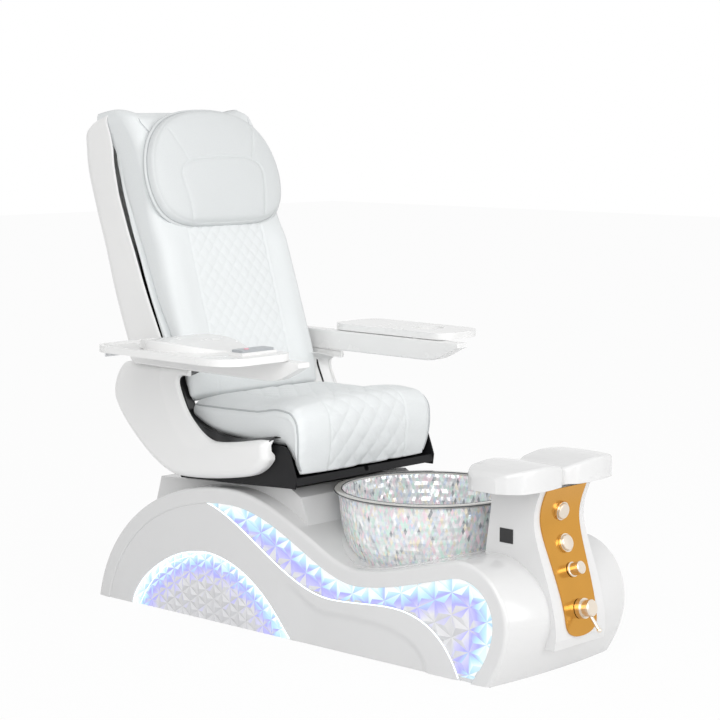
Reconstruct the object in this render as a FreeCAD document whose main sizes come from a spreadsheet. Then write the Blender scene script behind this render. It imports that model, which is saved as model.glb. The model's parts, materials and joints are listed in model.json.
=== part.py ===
import FreeCAD, Part
import Sketcher
import math
import os
from FreeCAD import Placement, Rotation, Vector

# A pedicure spa chair: a hollow base with a seat plinth, a bowl well and a control pillar, a sliding
# seat with C-shaped side panels, lifting arms with swivel trays and a reclining massage back.
# Frame: Z up from the floor, X = 0 is the middle plane and the chair faces -Y. Millimetres, degrees.
# Right and left are the occupant's: the right side is at -X.

SIZES = {
    # Base moulding, side view
    "rear_y": 862, "crest_y": 290, "crest_z": 400, "saddle_y": -182, "saddle_z": 241,
    "barrel_y": -545, "barrel_z": 317, "nose_y": -700, "nose_z": 160, "toe_y": -640, "nose_bulge": 28,
    # Base moulding, plan view
    "side_taper": 2.5, "half_width": 284, "wall": 6, "skin_depth": 12,
    # Seat plinth
    "plinth_half": 235, "plinth_rear_y": 660, "plinth_front_y": 100, "plinth_y": 380, "plinth_z": 401,
    "plinth_foot_z": 250, "seat_tilt": 3.5,
    # Side skins and light panels
    "border_width": 46, "skin_gap": 0.5, "wave_thick": 9, "panel_thick": 4, "led_width": 6,
    "led_thick": 3, "ribbon_low_y": -95, "ribbon_low_z": 144, "ribbon_foot_y": -545,
    "moon_rear_y": 700, "moon_front_y": 56, "moon_top_z": 208, "ridge_z": 118, "ridge_foot_y": -445,
    # Control pillar
    "pillar_half": 105, "pillar_top_z": 497, "pillar_rear_y": -524, "waist_y": -664, "waist_z": 415,
    "plate_foot_z": 110, "plate_thick": 4, "plate_half": 82, "plate_foot_half": 64,
    # Bowl and well
    "bowl_y": -209, "bowl_flare": 14, "bowl_flange": 11, "bowl_rim_z": 432, "bowl_foot_z": 190, "bowl_foot_radius": 110,
    "bowl_wall": 8, "well_radius": 240, "gasket_thick": 4, "gasket_width": 14,
    # Drain
    "drain_bore": 19, "drain_flange": 34, "drain_tail": 46, "stopper_radius": 27,
    "drain_pipe_radius": 20, "pump_radius": 45, "pump_length": 110, "drain_pipe_z": 108,
    # Jet
    "jet_offset": 71, "jet_radius": 34, "jet_motor_length": 60, "jet_cap_height": 34,
    "impeller_radius": 24, "blade_thick": 3,
    # Frame, feet and services
    "tube_wide": 40, "tube_high": 25, "frame_half": 150, "frame_z": 25, "frame_front_y": -480,
    "frame_rear_y": 800, "foot_radius": 22, "foot_thick": 8, "stem_radius": 6,
    "service_half": 112, "service_high": 94, "service_thick": 4, "inlet_radius": 10.5, "inlet_reach": 48, "tail_step": 2,
    "drain_outlet_radius": 24, "socket_wide": 50, "socket_high": 28, "box_wide": 110, "box_deep": 150,
    "box_high": 90,
    # Controls on the pillar
    "button_high_z": 432, "button_low_z": 345, "diverter_z": 278, "mixer_z": 180,
    "button_radius": 21, "button_high": 9, "button_travel": 2.5, "button_stem": 7, "bezel_width": 3.2,
    "switch_radius": 13, "switch_length": 34, "diverter_radius": 17, "diverter_length": 34,
    "mixer_radius": 22, "mixer_length": 40, "mixer_ring_radius": 27, "mixer_ring_high": 14,
    "lever_radius": 5, "lever_length": 58, "valve_radius": 22, "valve_length": 55, "turn_fit": 0.05,
    # Spout
    "spout_z": 466, "spout_radius": 11, "spout_reach": 62,
    # Footrest
    "rest_half": 212, "rest_front_y": -706, "rest_rear_y": -512, "rest_low_z": 501, "rest_high_z": 565,
    "rest_rail_half": 55, "rest_rail_wide": 12, "rest_rail_high": 10, "rest_rail_length": 130,
    "badge_wide": 44, "badge_high": 38, "badge_thick": 2,
    # Seat slide
    "rail_half": 150, "rail_wide": 30, "rail_high": 16, "rail_length": 500, "screw_radius": 8,
    "screw_length": 330, "motor_radius": 30, "motor_length": 90,
    # Seat frame and cushion
    "frame_plate": 4, "seat_half": 281, "seat_board_z": 534, "cushion_side": 13, "cushion_crown": 15,
    "cushion_bulge": 6, "cushion_gap": 0.6, "running_gap": 0.5,
    # Side panels
    "panel_width": 45, "panel_skin": 5, "panel_top_z": 734, "panel_low_z": 417, "panel_rear_y": 768,
    "panel_front_y": 86,
    # Arms
    "arm_inset": 17, "arm_width": 43, "arm_top_z": 795, "arm_front_y": -45, "arm_pivot_y": 640,
    "arm_pivot_z": 765, "arm_pin_radius": 8, "lug_thick": 10,
    # Trays
    "tray_thick": 20, "tray_rise": 2, "tray_pivot_y": 140, "tray_pin_radius": 7, "tray_inset": 10,
    "right_tray_wide": 258, "right_tray_front_y": 0, "right_tray_rear_y": 560, "left_tray_wide": 200,
    "left_tray_front_y": 20, "left_tray_rear_y": 490, "tray_corner": 55, "dish_depth": 7, "tray_rim": 9,
    "hump_high": 27, "cup_radius": 42, "cup_depth": 13, "cup_y": 172, "cup_inset": 110,
    # Remote
    "remote_wide": 46, "remote_long": 118, "remote_thick": 14, "remote_key_radius": 7,
    "remote_key_travel": 1.2, "dock_wall": 4,
    # Back
    "pivot_y": 540, "pivot_z": 520, "back_tilt": 17.5, "back_side": 5, "back_top": 985,
    "back_front": -84, "back_crown": 7, "shell_side": 2, "shell_rear": 150, "shell_top": 976,
    "shell_wall": 5, "hinge_pin_radius": 10, "hinge_arm_x": 215, "hinge_arm_thick": 8,
    "recline_motor_radius": 36, "back_rail_wide": 25,
    # Massage unit
    "massage_rod_x": 60, "massage_rod_radius": 8, "massage_depth": 62.5, "carriage_half": 92,
    "carriage_high": 80, "carriage_low": 240, "roller_radius": 9, "roller_wide": 20, "axle_radius": 5,
    # Head pillow
    "pillow_low": 612, "pillow_high": 978, "pillow_half": 255, "pillow_thick": 58,
}

doc = FreeCAD.newDocument("PedicureChair")
sheet = doc.addObject("Spreadsheet::Sheet", "Sizes")
for row, (alias, amount) in enumerate(SIZES.items(), start=1):
    sheet.set(f"A{row}", alias)
    sheet.set(f"B{row}", str(amount))
    sheet.setAlias(f"B{row}", alias)
doc.recompute()


class Size:
    """A number together with the sheet formula that keeps it live."""

    def __init__(self, value, formula):
        self.value = float(value)
        self.formula = formula

    def joined(self, sign, other, value):
        return Size(value, f"({self.formula} {sign} {formula_of(other)})")

    def __float__(self):
        return self.value

    def __add__(self, other):
        return self.joined("+", other, self.value + float(other))

    def __sub__(self, other):
        return self.joined("-", other, self.value - float(other))

    def __mul__(self, other):
        return self.joined("*", other, self.value * float(other))

    def __truediv__(self, other):
        return self.joined("/", other, self.value / float(other))

    def __neg__(self):
        return Size(-self.value, f"(0 - {self.formula})")

    __radd__ = __add__
    __rmul__ = __mul__

    def __rsub__(self, other):
        return -self + other


def formula_of(value):
    return value.formula if isinstance(value, Size) else f"({float(value)})"


class Sheet:
    """The driving dimensions, by name: live for properties, plain for shapes made in code."""

    def __init__(self, live):
        for alias in SIZES:
            value = float(sheet.get(alias))
            setattr(self, alias, Size(value, f"Sizes.{alias}") if live else value)


s = Sheet(live=True)
n = Sheet(live=False)
X_AXIS = Vector(1, 0, 0)
Y_AXIS = Vector(0, 1, 0)
Z_AXIS = Vector(0, 0, 1)
ORIGIN = Vector(0, 0, 0)
nodes = []


# Helpers for document objects

def bind(obj, prop, value):
    """Give a property its value, and its formula where the value comes from the sheet."""
    setattr(obj, prop, float(value))
    if isinstance(value, Size):
        obj.setExpression(prop, value.formula)


def put(obj, at=(0, 0, 0), rotation=None):
    """Place an object, keeping the sheet's formulas for its position."""
    obj.Placement = Placement(Vector(*(float(value) for value in at)), rotation or Rotation())
    for axis, value in zip("xyz", at):
        if isinstance(value, Size):
            obj.setExpression(f"Placement.Base.{axis}", value.formula)
    return obj


def box(name, size, at=(0, 0, 0)):
    """A block from its lowest corner."""
    obj = doc.addObject("Part::Box", name)
    for prop, value in zip(("Length", "Width", "Height"), size):
        bind(obj, prop, value)
    return put(obj, at)


def centred_box(name, size, at=(0, 0, 0)):
    """A block centred on X, from its lowest Y and Z."""
    return box(name, size, (at[0] - size[0] / 2, at[1], at[2]))


def rod(name, radius, length, at=(0, 0, 0), along="z"):
    """A cylinder that runs along an axis from its start point."""
    obj = doc.addObject("Part::Cylinder", name)
    bind(obj, "Radius", radius)
    bind(obj, "Height", length)
    turns = {"x": Rotation(Y_AXIS, 90), "y": Rotation(X_AXIS, -90), "z": Rotation()}
    return put(obj, at, turns[along])


def fuse(name, parts):
    obj = doc.addObject("Part::MultiFuse", name)
    obj.Shapes = parts
    return obj


def cut(name, base, tool):
    obj = doc.addObject("Part::Cut", name)
    obj.Base = base
    obj.Tool = tool
    return obj


def group(name, parts):
    """Separate solids kept as one object."""
    obj = doc.addObject("Part::Compound", name)
    obj.Links = parts
    return obj


def made(name, shape):
    """A solid that Part's own functions made."""
    obj = doc.addObject("Part::Feature", name)
    obj.Shape = shape
    return obj


def node(label, obj, frame=None):
    """Keep an object as a sub-part, moved into a frame where one is given."""
    if frame is not None:
        obj.Placement = frame.multiply(obj.Placement)
    obj.Label = label
    nodes.append(obj)
    return obj


def origin_plane(body, role):
    return next(item for item in body.Origin.OriginFeatures if item.Role == role)


def sketch_polygon(body, role, points):
    """A closed polygon whose corners are held by the sheet's formulas."""
    sketch = body.newObject("Sketcher::SketchObject", f"{body.Name}Sketch")
    sketch.AttachmentSupport = [(origin_plane(body, role), "")]
    sketch.MapMode = "FlatFace"
    corners = [Vector(float(x), float(y), 0) for x, y in points]
    for index, corner in enumerate(corners):
        sketch.addGeometry(Part.LineSegment(corner, corners[(index + 1) % len(corners)]))
    for index in range(len(points)):
        sketch.addConstraint(Sketcher.Constraint("Coincident", index, 2, (index + 1) % len(points), 1))
    for index, point in enumerate(points):
        for kind, axis, value in (("DistanceX", -2, point[0]), ("DistanceY", -1, point[1])):
            hold_corner(sketch, index, kind, axis, value)
    return sketch


def hold_corner(sketch, index, kind, axis, value):
    """Hold one coordinate of a corner: on the axis at zero, or else at a signed distance."""
    amount = float(value)
    if amount == 0:
        sketch.addConstraint(Sketcher.Constraint("PointOnObject", index, 1, axis))
        return
    ends = (-1, 1, index, 1) if amount > 0 else (index, 1, -1, 1)
    number = sketch.addConstraint(Sketcher.Constraint(kind, *ends, abs(amount)))
    if isinstance(value, Size):
        distance = value if amount > 0 else -value
        sketch.setExpression(f"Constraints[{number}]", distance.formula)


def turned(name, outline):
    """A body turned about its own Z axis from an outline of radius and height."""
    body = doc.addObject("PartDesign::Body", name)
    sketch = sketch_polygon(body, "XZ_Plane", outline)
    turn = body.newObject("PartDesign::Revolution", f"{name}Turn")
    turn.Profile = sketch
    turn.ReferenceAxis = (sketch, ["V_Axis"])
    turn.Angle = 360
    return body


def padded_plate(name, outline, thickness, role="XY_Plane"):
    """A body padded from an outline on one of its own planes."""
    body = doc.addObject("PartDesign::Body", name)
    pad = body.newObject("PartDesign::Pad", f"{name}Pad")
    pad.Profile = sketch_polygon(body, role, outline)
    bind(pad, "Length", thickness)
    return body


# Helpers for shapes made in code

def yz(point, x=0.0):
    return Vector(x, point[0], point[1])


def line(start, end):
    return Part.LineSegment(start, end).toShape()


def arc(start, middle, end):
    return Part.Arc(start, middle, end).toShape()


def bezier(points):
    curve = Part.BezierCurve()
    curve.setPoles(list(points))
    return curve.toShape()


def side_path(steps, x=0.0):
    """Edges in the plane of X: a step of two points is a line and one of four is a Bezier curve."""
    edges = []
    for step in steps:
        points = [yz(point, x) for point in step]
        edges.append(line(*points) if len(points) == 2 else bezier(points))
    return edges


def chain(steps):
    """Join a closed list of side view steps with straight lines where they leave a gap."""
    joined = []
    for index, step in enumerate(steps):
        joined.append(step)
        following = steps[(index + 1) % len(steps)]
        if math.dist(step[-1], following[0]) > 1e-6:
            joined.append([step[-1], following[0]])
    return joined


def side_face(steps, x=0.0):
    return Part.Face(Part.Wire(side_path(chain(steps), x)))


def polygon(points, x=0.0):
    return Part.Face(Part.makePolygon([yz(point, x) for point in [*points, points[0]]]))


def largest(shape):
    return max(shape.Faces, key=lambda face: face.Area)


def inset(face, distance):
    """A face drawn in by a distance all round, with plain spline edges."""
    return largest(face.makeOffset2D(-distance).toNurbs())


def across(face, half):
    """Push a side view face through both sides of the middle plane."""
    moved = face.translated(Vector(-half, 0, 0))
    return moved.extrude(Vector(2 * half, 0, 0))


def on_side(shape, depth=0.0):
    """Move what is drawn on X = 0 to the right side wall, at a depth below its outer plane."""
    placed = shape.translated(Vector(depth, 0, 0))
    placed.rotate(ORIGIN, Z_AXIS, n.side_taper)
    return placed.translated(Vector(-n.half_width, 0, 0))


def mirrored(shape):
    return shape.mirror(ORIGIN, X_AXIS)


def padded_form(stations, crown, bulge, rear_crown=0.0):
    """A cushion lofted through stations of an outer point, an inner point and a half width."""
    wires = []
    for outer, inner, half in stations:
        out, inn = yz(outer), yz(inner)
        up = (out - inn).normalize()
        middle = (out + inn) / 2
        reach = Vector(half, 0, 0)
        swell = Vector(half + bulge, 0, 0)
        corners = [inn - reach, inn + reach, out + reach, out - reach]
        rear = inn - up * rear_crown
        bottom = arc(corners[0], rear, corners[1]) if rear_crown else line(corners[0], corners[1])
        wires.append(Part.Wire([
            bottom,
            arc(corners[1], middle + swell, corners[2]),
            arc(corners[2], out + up * crown, corners[3]),
            arc(corners[3], middle - swell, corners[0]),
        ]))
    return Part.makeLoft(wires, True, False)


# Base moulding

def hull_steps(inset=0.0, bulge=0.0):
    """The base's side view as Bezier curves: rear sweep, wave, barrel, nose and toe."""
    rear = n.rear_y - inset
    crest = (n.crest_y, n.crest_z - inset)
    saddle = (n.saddle_y, n.saddle_z - inset)
    barrel = (n.barrel_y, n.barrel_z - inset)
    nose = (n.nose_y - bulge + inset, n.nose_z)
    toe = (n.toe_y - bulge / 2 + inset, 0)
    rise = n.crest_z - n.saddle_z
    return [
        [(rear, 0), (rear - 42, crest[1] * 0.575), (crest[0] + 310, crest[1]), crest],
        [crest, (crest[0] - 200, crest[1]), (saddle[0] + 115, saddle[1]), saddle],
        [saddle, (saddle[0] - 118, saddle[1]), (barrel[0] + 53, barrel[1]), barrel],
        [barrel, (barrel[0] - 85, barrel[1]), (nose[0], nose[1] + 0.57 * rise), nose],
        [nose, (nose[0], nose[1] * 0.62), (toe[0] - 28, nose[1] * 0.25), toe],
    ]


def hull_loft(inset, floor):
    """The base's solid: its side view at both side walls and, with a fuller nose, in the middle."""
    def closed(bulge):
        steps = hull_steps(inset, bulge)
        rear, toe = steps[0][0], steps[-1][-1]
        below = [[toe, (toe[0], floor)], [(toe[0], floor), (rear[0], floor)], [(rear[0], floor), rear]]
        return Part.Wire(side_path(steps + (below if floor else [[toe, rear]])))
    right = on_side(closed(0.0), n.skin_depth + inset)
    return Part.makeLoft([right, closed(n.nose_bulge), mirrored(right)], True, False)


def plinth_z(y):
    """Height of the plinth's sloping top."""
    return n.plinth_z - (y - n.plinth_y) * math.tan(math.radians(n.seat_tilt))


def plinth_face():
    front, rear, foot = n.plinth_front_y, n.plinth_rear_y, n.plinth_foot_z
    return polygon([
        (rear + 42, foot), (rear, plinth_z(rear)), (front, plinth_z(front)),
        (front - 38, plinth_z(front) - 20), (front - 82, foot + 48), (front - 104, foot),
    ])


PLATE_STEPS = [
    [(n.waist_y - 22, n.pillar_top_z), (n.waist_y - 11, n.pillar_top_z - 27),
     (n.waist_y, n.waist_z + 30), (n.waist_y, n.waist_z)],
    [(n.waist_y, n.waist_z), (n.waist_y, n.waist_z - 65),
     (n.nose_y - 45, n.plate_foot_z + 110), (n.nose_y - 42, n.plate_foot_z)],
]


def shifted(steps, forward):
    return [[(y - forward, z) for y, z in step] for step in steps]


def pillar_face():
    top, rear, foot = n.pillar_top_z, n.pillar_rear_y, n.plate_foot_z
    bottom = (PLATE_STEPS[-1][-1][0] + 6, foot - 25)
    rear_steps = [
        [bottom, (n.toe_y, bottom[1])], [(n.toe_y, bottom[1]), (rear + 29, 250)],
        [(rear + 29, 250), (rear + 20, 350), (rear, 430), (rear, top)],
    ]
    return side_face(PLATE_STEPS + rear_steps)


def control_placement(height):
    """Place and outward turn of a control whose centre is on the plate at a height."""
    curve = Part.BezierCurve()
    curve.setPoles([yz(point) for point in PLATE_STEPS[0 if height > n.waist_z else 1]])
    low, high = 0.0, 1.0
    for _ in range(40):
        middle = (low + high) / 2
        low, high = (middle, high) if curve.value(middle).z > height else (low, middle)
    along = curve.tangent(low)[0]
    lean = math.degrees(math.atan2(-along.y, -along.z))
    return Placement(curve.value(low), Rotation(X_AXIS, 90 - lean))


CONTROLS = {
    "button_high": (control_placement(n.button_high_z), n.switch_radius),
    "button_low": (control_placement(n.button_low_z), n.switch_radius),
    "diverter": (control_placement(n.diverter_z), n.switch_radius),
    "mixer": (control_placement(n.mixer_z), n.valve_radius * 0.8),
}


def control_hole(name, clearance):
    """A cutter along a control's axis, through the plate and the pillar's front wall."""
    place, radius = CONTROLS[name]
    cutter = Part.makeCylinder(radius + clearance, 80, Vector(0, 0, -60))
    cutter.Placement = place
    return cutter


WELL_FLOOR_Z = n.bowl_foot_z - n.gasket_thick
BOWL_CENTRE = Vector(0, n.bowl_y, 0)


def well_solid(radius, floor):
    return Part.makeCylinder(radius, n.crest_z, Vector(0, n.bowl_y, floor))


def base_shell():
    outer = hull_loft(0.0, 0.0).fuse([
        across(plinth_face(), n.plinth_half),
        across(pillar_face(), n.pillar_half),
    ])
    cavity = hull_loft(n.wall, -2 * n.wall).fuse([
        across(inset(plinth_face(), n.wall), n.plinth_half - n.wall),
        across(inset(pillar_face(), n.wall), n.pillar_half - n.wall),
    ])
    cavity = cavity.cut(well_solid(n.well_radius + n.wall, WELL_FLOOR_Z - n.wall))
    shell = outer.cut(cavity).cut(well_solid(n.well_radius, WELL_FLOOR_Z))
    drain = Part.makeCylinder(n.drain_bore + n.running_gap, n.crest_z, BOWL_CENTRE)
    service = Part.makeBox(2 * n.service_half - 20, 80, n.service_high - 6)
    service.translate(Vector(-n.service_half + 10, n.rear_y - 60, n.frame_z - 3))
    spout = Part.makeCylinder(n.spout_radius + n.running_gap, 60,
                              Vector(0, n.pillar_rear_y - 30, n.spout_z), Y_AXIS)
    holes = [control_hole(name, n.running_gap) for name in CONTROLS]
    return shell.cut([drain, service, spout, *holes])


node("base_shell", made("BaseShell", base_shell()))


# Side skins: the raised wave border, the white wave skin, the light panels and their light strips

def border_inner_steps():
    return hull_steps(inset=n.border_width)


def ribbon_low_steps():
    """Lower edge of the ribbon window, from its tip to the floor."""
    tip = (n.crest_y + 110, n.crest_z - n.border_width - 2)
    low = (n.ribbon_low_y, n.ribbon_low_z)
    swell = (low[0] - 215, low[1] + 13)
    return [
        [tip, (tip[0] - 150, tip[1] - 22), (low[0] + 175, low[1]), low],
        [low, (low[0] - 75, low[1]), (swell[0] + 70, swell[1]), swell],
        [swell, (swell[0] - 110, swell[1]), (n.ribbon_foot_y + 45, swell[1] * 0.7), (n.ribbon_foot_y, 0)],
    ]


def side_skin_faces():
    """Flat faces, on X = 0, of the border, the wave skin and the two windows."""
    below = -n.wall
    whole = side_face([*hull_steps(), [hull_steps()[-1][-1], (n.rear_y, 0)]])
    inner = side_face([*border_inner_steps(), [border_inner_steps()[-1][-1], border_inner_steps()[0][0]]])
    drop = [(n.ribbon_foot_y, 0), (n.ribbon_foot_y, below)]
    start = (-n.rear_y, below)
    tip = ribbon_low_steps()[0][0]
    ribbon_side = side_face([*ribbon_low_steps(), drop, [drop[1], start], [start, (-n.rear_y, tip[1] * 2)],
                             [(-n.rear_y, tip[1] * 2), (tip[0] + 60, tip[1] * 2)]])
    ribbon = inner.common(ribbon_side).Faces[0]
    middle = (n.moon_rear_y + n.moon_front_y) / 2
    reach = (n.moon_rear_y - n.moon_front_y) / 2
    rise = n.moon_top_z * 4 / 3
    moon = side_face([
        [(n.moon_rear_y, 0), (n.moon_rear_y - 40, rise), (middle - reach * 0.3, rise), (n.moon_front_y, 0)],
        [(n.moon_front_y, 0), (n.moon_rear_y, 0)],
    ])
    ridge = (n.moon_front_y - 60, n.ridge_z + 8)
    foot = (n.ridge_foot_y, 0)
    scoop = side_face([
        [(n.moon_front_y - 8, -1), (n.moon_front_y - 4, ridge[1] * 0.6), (ridge[0] + 35, ridge[1]), ridge],
        [ridge, (ridge[0] - 150, n.ridge_z), (foot[0] + 55, n.ridge_z), (foot[0], -1)],
    ])
    border = whole.cut(inner)
    wave = inner.cut([ribbon, moon, scoop])
    return border, largest(wave), ribbon, moon


def skin(face, depth, thickness):
    """A plate on the right side wall, from a face and the depth of its outer side."""
    return on_side(face.extrude(Vector(thickness, 0, 0)), depth)


def light_strip(window):
    """The band that follows a window's edge."""
    return largest(inset(window, n.skin_gap).cut(inset(window, n.skin_gap + n.led_width)))


def side_skins():
    border, wave, ribbon, moon = side_skin_faces()
    panel_inset = n.led_width + 2 * n.skin_gap
    shapes = {
        "side_border": skin(border, 0.0, n.skin_depth),
        "wave_skin": skin(inset(wave, n.skin_gap), n.skin_depth - n.wave_thick, n.wave_thick),
    }
    for name, window in (("ribbon_light_panel", ribbon), ("moon_light_panel", moon)):
        shapes[name] = skin(inset(window, panel_inset), n.skin_depth - n.panel_thick, n.panel_thick)
    strips = [skin(light_strip(window), n.skin_depth - n.led_thick, n.led_thick)
              for window in (ribbon, moon)]
    for name, shape in shapes.items():
        for side, solid in (("right", shape), ("left", mirrored(shape))):
            node(f"{name}_{side}", made(f"{name}_{side}", solid))
    both = strips + [mirrored(strip) for strip in strips]
    node("light_strips", made("LightStrips", Part.makeCompound(both)))


side_skins()


# Floor frame, feet and services

def floor_frame():
    long = s.frame_rear_y - s.frame_front_y
    tubes = []
    for side in (-1, 1):
        start = s.frame_half * side - s.tube_wide / 2
        tubes.append(box("LongTube", (s.tube_wide, long, s.tube_high), (start, s.frame_front_y, s.frame_z)))
        for y in (s.plinth_front_y + 60, s.plinth_rear_y - 60):
            high = plinth_z(float(y)) - n.wall - n.running_gap - n.frame_z - 2
            tubes.append(box("Post", (s.tube_wide, s.tube_high, high), (start, y, s.frame_z)))
    for y in (s.frame_front_y, -s.tube_wide / 2, s.frame_rear_y - s.tube_wide):
        width = s.frame_half * 2
        tubes.append(centred_box("CrossTube", (width, s.tube_wide, s.tube_high), (0, y, s.frame_z)))
    return fuse("FloorFrame", tubes)


node("floor_frame", floor_frame())


def levelling_feet():
    """Six feet below the long tubes and one in the middle, below the cross tube."""
    places = [(s.frame_half * side, y) for side in (-1, 1)
              for y in (s.frame_front_y + 60, s.plinth_front_y + 30, s.frame_rear_y - 75)]
    feet = []
    for at in [(0, 0), *places]:
        pad = rod("FootPad", s.foot_radius, s.foot_thick, (*at, 0))
        stem = rod("FootStem", s.stem_radius, s.frame_z - s.foot_thick, (*at, s.foot_thick))
        feet.append(fuse("Foot", [pad, stem]))
    return group("LevellingFeet", feet)


node("levelling_feet", levelling_feet())
SERVICE_X = {"hot": -80, "cold": -40, "drain": 15, "socket": 75}
SERVICE_Z = s.frame_z + s.tube_high + s.drain_outlet_radius + 6


def service_plate():
    plate = centred_box("ServiceSheet", (s.service_half * 2, s.service_thick, s.service_high),
                        (0, s.frame_rear_y, s.frame_z))
    cutters = []
    neck = s.inlet_radius - s.tail_step
    for name, radius in (("hot", neck), ("cold", neck), ("drain", s.drain_outlet_radius - s.tail_step)):
        start = (SERVICE_X[name], s.frame_rear_y - 10, SERVICE_Z)
        cutters.append(rod("ServiceHole", radius + 0.3, 30, start, "y"))
    return cut("ServicePlate", plate, fuse("ServiceHoles", cutters))


node("service_plate", service_plate())


def water_inlets():
    """Hot and cold threaded tails whose necks pass through the service plate."""
    tails = []
    rear = s.frame_rear_y + s.service_thick
    for name in ("hot", "cold"):
        tail = rod("InletTail", s.inlet_radius, s.inlet_reach, (SERVICE_X[name], rear, SERVICE_Z), "y")
        start = (SERVICE_X[name], rear - 30, SERVICE_Z)
        neck = rod("InletNeck", s.inlet_radius - s.tail_step, 30, start, "y")
        bore = rod("InletBore", s.inlet_radius - 4, 200, start, "y")
        tails.append(cut("InletTube", fuse("InletForm", [tail, neck]), bore))
    return group("WaterInlets", tails)


node("water_inlets", water_inlets())


def power_inlet():
    start = (SERVICE_X["socket"], s.frame_rear_y + s.service_thick, SERVICE_Z - s.socket_high / 2)
    body = centred_box("SocketBody", (s.socket_wide, 22, s.socket_high), start)
    inner = (s.socket_wide - 10, 30, s.socket_high - 10)
    hollow = centred_box("SocketHollow", inner, (start[0], start[1] + 5, start[2] + 5))
    return cut("PowerInlet", body, hollow)


node("power_inlet", power_inlet())


def control_box():
    """Electrical box on a sheet across the frame tubes, beside the drain pipe."""
    at = (0, s.plinth_front_y + 150, s.frame_z + s.tube_high)
    size = (s.frame_half * 2 + s.tube_wide, s.box_deep, 3)
    tray = centred_box("BoxTray", size, at)
    beside = SERVICE_X["drain"] + s.drain_outlet_radius + 12
    case = box("BoxCase", (s.box_wide, s.box_deep, s.box_high), (beside, at[1], at[2] + 3))
    return fuse("ControlBox", [tray, case])


node("control_box", control_box())


# Bowl, drain and jet

def glass_bowl():
    foot, well, wall = s.bowl_foot_radius, s.well_radius, s.bowl_wall
    lip = well + s.bowl_flare
    high = s.bowl_rim_z - s.bowl_foot_z
    outer = [(s.drain_bore, 0), (foot, 0), (well - 68, high * 0.1), (well - 26, high * 0.28),
             (well - 2, high * 0.52), (well + 8, high * 0.77), (lip, high * 0.95),
             (lip + s.bowl_flange, high * 0.965), (lip + s.bowl_flange, high)]
    inner = [(lip - 5, high), (well + 8 - wall, high * 0.77), (well - 2 - wall, high * 0.52),
             (well - 26 - wall, high * 0.28 + 3), (well - 70, high * 0.1 + wall), (foot, wall),
             (s.drain_bore, wall)]
    bowl = turned("GlassBowl", outer + inner)
    return put(bowl, (0, s.bowl_y, s.bowl_foot_z))


node("glass_bowl", glass_bowl())


def bowl_gasket():
    ring = [(s.bowl_foot_radius - s.gasket_width, 0), (s.bowl_foot_radius, 0),
            (s.bowl_foot_radius, s.gasket_thick), (s.bowl_foot_radius - s.gasket_width, s.gasket_thick)]
    return put(turned("BowlGasket", ring), (0, s.bowl_y, s.bowl_foot_z - s.gasket_thick))


node("bowl_gasket", bowl_gasket())


def bowl_drain():
    """Flanged drain with a cross-shaped strainer below its seat, and its threaded tail."""
    bore, floor = s.drain_bore - 4, s.bowl_wall
    tail = -(s.gasket_thick + s.wall + s.drain_tail)
    profile = [(bore, tail), (s.drain_bore - 0.3, tail), (s.drain_bore - 0.3, floor),
               (s.drain_flange, floor), (s.drain_flange, floor + 2), (bore, floor + 2)]
    tube = turned("DrainTube", profile)
    bars = [box("DrainBar", (bore * 2, 3, 3), (-bore, -1.5, -12)),
            box("DrainBar", (3, bore * 2, 3), (-1.5, -bore, -12))]
    return put(fuse("BowlDrain", [tube, *bars]), (0, s.bowl_y, s.bowl_foot_z))


node("bowl_drain", bowl_drain())
DRAIN_TOP_Z = s.bowl_foot_z + s.bowl_wall + 2


def drain_stopper():
    """Domed stopper whose stem drops into the drain."""
    profile = [(0, -16), (4, -16), (4, 0), (s.stopper_radius, 0), (s.stopper_radius, 3),
               (s.stopper_radius * 0.6, 6), (0, 7)]
    return put(turned("DrainStopper", profile), (0, s.bowl_y, DRAIN_TOP_Z + s.running_gap))


node("drain_stopper", drain_stopper())
TAIL_END_Z = s.bowl_foot_z - s.gasket_thick - s.wall - s.drain_tail


def drain_pipe():
    """Elbow below the tail, the run to the pump's side and the run back to the outlet."""
    radius, level = s.drain_pipe_radius, s.drain_pipe_z
    across_x = SERVICE_X["drain"]
    rear = s.frame_rear_y + s.service_thick
    run_y = s.bowl_y + s.well_radius - 60
    parts = [
        rod("PipeDown", radius, TAIL_END_Z - level, (0, s.bowl_y, level)),
        rod("PipeRun", radius, run_y - s.bowl_y - s.pump_length, (0, s.bowl_y, level), "y"),
    ]
    elbow = doc.addObject("Part::Sphere", "PipeElbow")
    bind(elbow, "Radius", radius)
    parts.append(put(elbow, (0, s.bowl_y, level)))
    outlet = fuse("OutletForm", [
        rod("OutletRun", s.drain_outlet_radius - s.tail_step, rear - run_y, (across_x, run_y, SERVICE_Z), "y"),
        rod("OutletTail", s.drain_outlet_radius, s.inlet_reach, (across_x, rear, SERVICE_Z), "y"),
    ])
    bore = rod("OutletBore", s.drain_outlet_radius - 5, 180, (across_x, rear - 100, SERVICE_Z), "y")
    return group("DrainPipe", [fuse("PipeBend", parts), cut("OutletPipe", outlet, bore)])


node("drain_pipe", drain_pipe())


def drain_pump():
    """Pump between the two runs of drain pipe, on a foot that spans the frame tubes."""
    run_y = s.bowl_y + s.well_radius - 60
    start = run_y - s.pump_length
    volute = rod("PumpVolute", s.pump_radius, s.pump_length, (0, start, s.drain_pipe_z), "y")
    top = s.frame_z + s.tube_high
    foot = centred_box("PumpFoot", (s.frame_half * 2 + s.tube_wide, s.pump_length / 2, 4), (0, start, top))
    leg = centred_box("PumpLeg", (s.pump_radius, s.pump_length / 2, s.drain_pipe_z - top),
                      (0, start, top))
    body = fuse("PumpBody", [volute, foot, leg])
    outlet = rod("PumpPort", s.drain_outlet_radius - s.tail_step, s.pump_length,
                 (SERVICE_X["drain"], run_y, SERVICE_Z), "y")
    return cut("DrainPump", body, outlet)


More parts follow.
